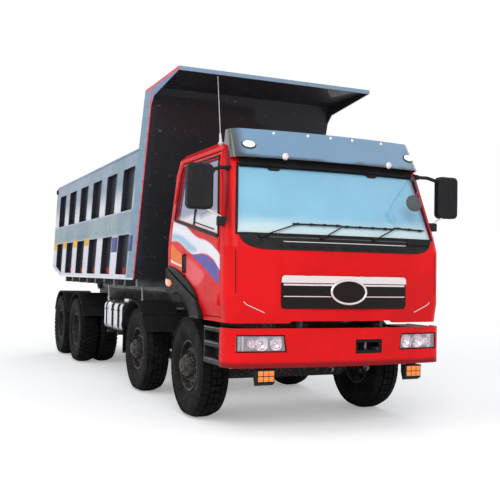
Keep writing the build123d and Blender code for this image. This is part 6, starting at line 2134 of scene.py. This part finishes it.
@dataclass
class Cabin(Assembly):
    """The cab's inside: two padded seats on plinths, the dashboard's dials and vents, and the gear lever."""

    seats: tuple[float, ...] = (-0.560, 0.560)  # the seats' middles across the cab
    half: float = 0.240
    floor: float = 1.43

    def pad(self, name: str, low: Place, high: Place, crown: float, tilt: float = 0.0) -> Thing:
        """Makes one plump cushion.

        Args:
            name: its name.
            low: its lowest corner before it is tilted.
            high: its highest corner.
            crown: how far its faces swell.
            tilt: how far it leans back about its foot, in degrees.

        Returns:
            The cushion.
        """
        piece = block(name, low, high, 0.030, 4)
        edit(piece)
        bpy.ops.mesh.subdivide(number_cuts=7)
        done(piece)
        middle, half = (Vector(low) + Vector(high)) / 2, (Vector(high) - Vector(low)) / 2
        for vert in piece.data.vertices:
            off = vert.co - middle
            spread = [max(0.0, 1 - (off[axis] / half[axis]) ** 2) for axis in range(3)]
            for axis in range(3):
                others = spread[(axis + 1) % 3] * spread[(axis + 2) % 3]
                vert.co[axis] += math.copysign(crown * others, off[axis]) * abs(off[axis]) / half[axis]
        turn = Matrix.Translation(Vector((0, middle.y, low[2]))) @ Matrix.Rotation(math.radians(-tilt), 4, "X")
        piece.data.transform(turn @ Matrix.Translation(-Vector((0, middle.y, low[2]))))
        return smooth(piece, 50)

    def seating(self) -> None:
        """Builds the two seats on their plinths."""
        for number, middle in enumerate(self.seats, 1):
            near, far = middle - self.half, middle + self.half
            # Rows: name, lowest corner, highest corner, swelling, lean
            for name, low, high, crown, tilt in (
                ("cushion", (near, back(1.075), 1.586), (far, back(1.515), 1.715), 0.022, 3),
                ("back", (near, back(1.524), 1.700), (far, back(1.620), 2.170), 0.018, 9),
                ("head", (middle - 0.13, back(1.580), 2.200), (middle + 0.13, back(1.660), 2.345), 0.014, 5),
            ):
                piece = self.pad(f"seat_{name}_{number}", low, high, crown, tilt)
                self.shop.fit(piece, "cab", "seat_cloth", replaces=("seats",) if name == "cushion" else ())
            plinth = block(f"seat_plinth_{number}", (near + 0.04, back(1.13), self.floor),
                           (far - 0.04, back(1.50), 1.585), 0.012)
            posts = [drum("post", (middle + x, back(1.60), 2.12), (middle + x, back(1.625), 2.22), 0.007,
                          10) for x in (-0.05, 0.05)]
            self.shop.fit(joined(f"seat_plinth_{number}", [plinth, *posts]), "cab", "dash_plastic")

    def controls(self) -> None:
        """Fits the dashboard's dials and vents, and stands the gear lever in its boot."""
        skin = Surface("dashboard")
        rings, vents = [], []
        for x, z in ((-0.66, 1.760), (-0.56, 1.775), (-0.46, 1.760)):
            place = skin.touch(Vector((x, back(0.90), z)), -ALONG)
            if place:
                rings.append(spun("dial",
                                  [(0.004, 0.040), (-0.010, 0.042), (-0.012, 0.037), (-0.004, 0.034), (-0.004, 0.0)],
                                  place, -ALONG, 28))
        for x in (-0.95, -0.22, 0.22, 0.62, 0.95):
            place = skin.touch(Vector((x, back(0.90), 1.740)), -ALONG)
            if place:
                vents += [block("vent", place + Vector((-0.065, -0.004, step)),
                                place + Vector((0.065, 0.010, step + 0.006)), 0.002)
                          for step in (-0.024, -0.010, 0.004, 0.018)]
        if rings or vents:
            self.shop.fit(joined("dash_fittings", rings + vents), "cab", "black_plastic")
        floor = Vector((0.0, back(1.02), 1.40))
        lever = [pipe("lever", [floor, floor + Vector((0, -0.02, 0.22)), floor + Vector((-0.01, -0.06, 0.40))], 0.009,
                      facets=3),
                 spun("knob", [(-0.030, 0.0), (-0.024, 0.018), (0.0, 0.028), (0.022, 0.020), (0.028, 0.0)],
                      floor + Vector((-0.01, -0.065, 0.42)), UP, 20),
                 spun("boot", [(0.0, 0.075), (0.02, 0.066), (0.03, 0.070), (0.05, 0.048), (0.06, 0.052), (0.09, 0.022),
                               (0.10, 0.010)], floor, UP, 24)]
        self.shop.fit(joined("gear_lever", lever), "cab", "black_plastic")

    def build(self) -> None:
        """Builds the cabin."""
        self.seating()
        self.controls()


@dataclass
class CarriedNodes(Assembly):
    """The CAD nodes that show as they are, each with its finish."""

    finishes: dict[str, tuple[str, ...]] = field(default_factory=lambda: {
        "cab_paint": ("cab_shell", "front_bumper"),
        "door_paint": ("door_right", "door_left"),
        "body_paint": ("dump_body", "tailgate"),
        "frame_paint": ("chassis_frame", "hoist_subframe", "hoist_cradle", "front_springs", "tandem_suspension",
                        "battery_box", "air_reservoirs", "rear_lamps", "prop_shafts", "hoist_barrel"),
        "axle_iron": ("front_axles", "rear_axles", "knuckle_"),
        "engine_metal": ("engine",),
        "wheel_paint": ("wheel_",),
        "step_metal": ("cab_steps",),
        "black_plastic": ("mudguards", "arch_flares", "grille", "wipers", "mirrors", "turn_lamps", "steering_wheel"),
        "dash_plastic": ("dashboard",),
        "visor_smoke": ("sun_visor",),
        "lamp_glass": ("headlamps",),
        "glass_tint": ("windscreen",),
        "side_glass": ("door_glass_",),
        "tank_metal": ("fuel_tank",),
        "hoist_steel": ("hoist_stage_",),
        "seat_cloth": ("seats",),
        "tyre": ("tyre_",),
    })

    def build(self) -> None:
        """Dresses every node."""
        for finish, starts in self.finishes.items():
            for name, node in frame["nodes"].items():
                if name.startswith(starts):
                    self.shop.dress(node, finish)
        log.info("%d nodes carry their finish", len(frame["nodes"]))


def main() -> None:
    """Sets the stage, mixes the finishes and builds each sub-assembly in turn."""
    logging.basicConfig(level=logging.INFO, format="%(name)s: %(message)s")
    Studio().build()
    shop = Shop()
    for assembly in (CarriedNodes, RoadWheel, CabFront, Visor, Mirrors, Doors, Lamps, Body, Chassis, Cabin):
        assembly(shop).build()


if __name__ == "__main__":
    main()
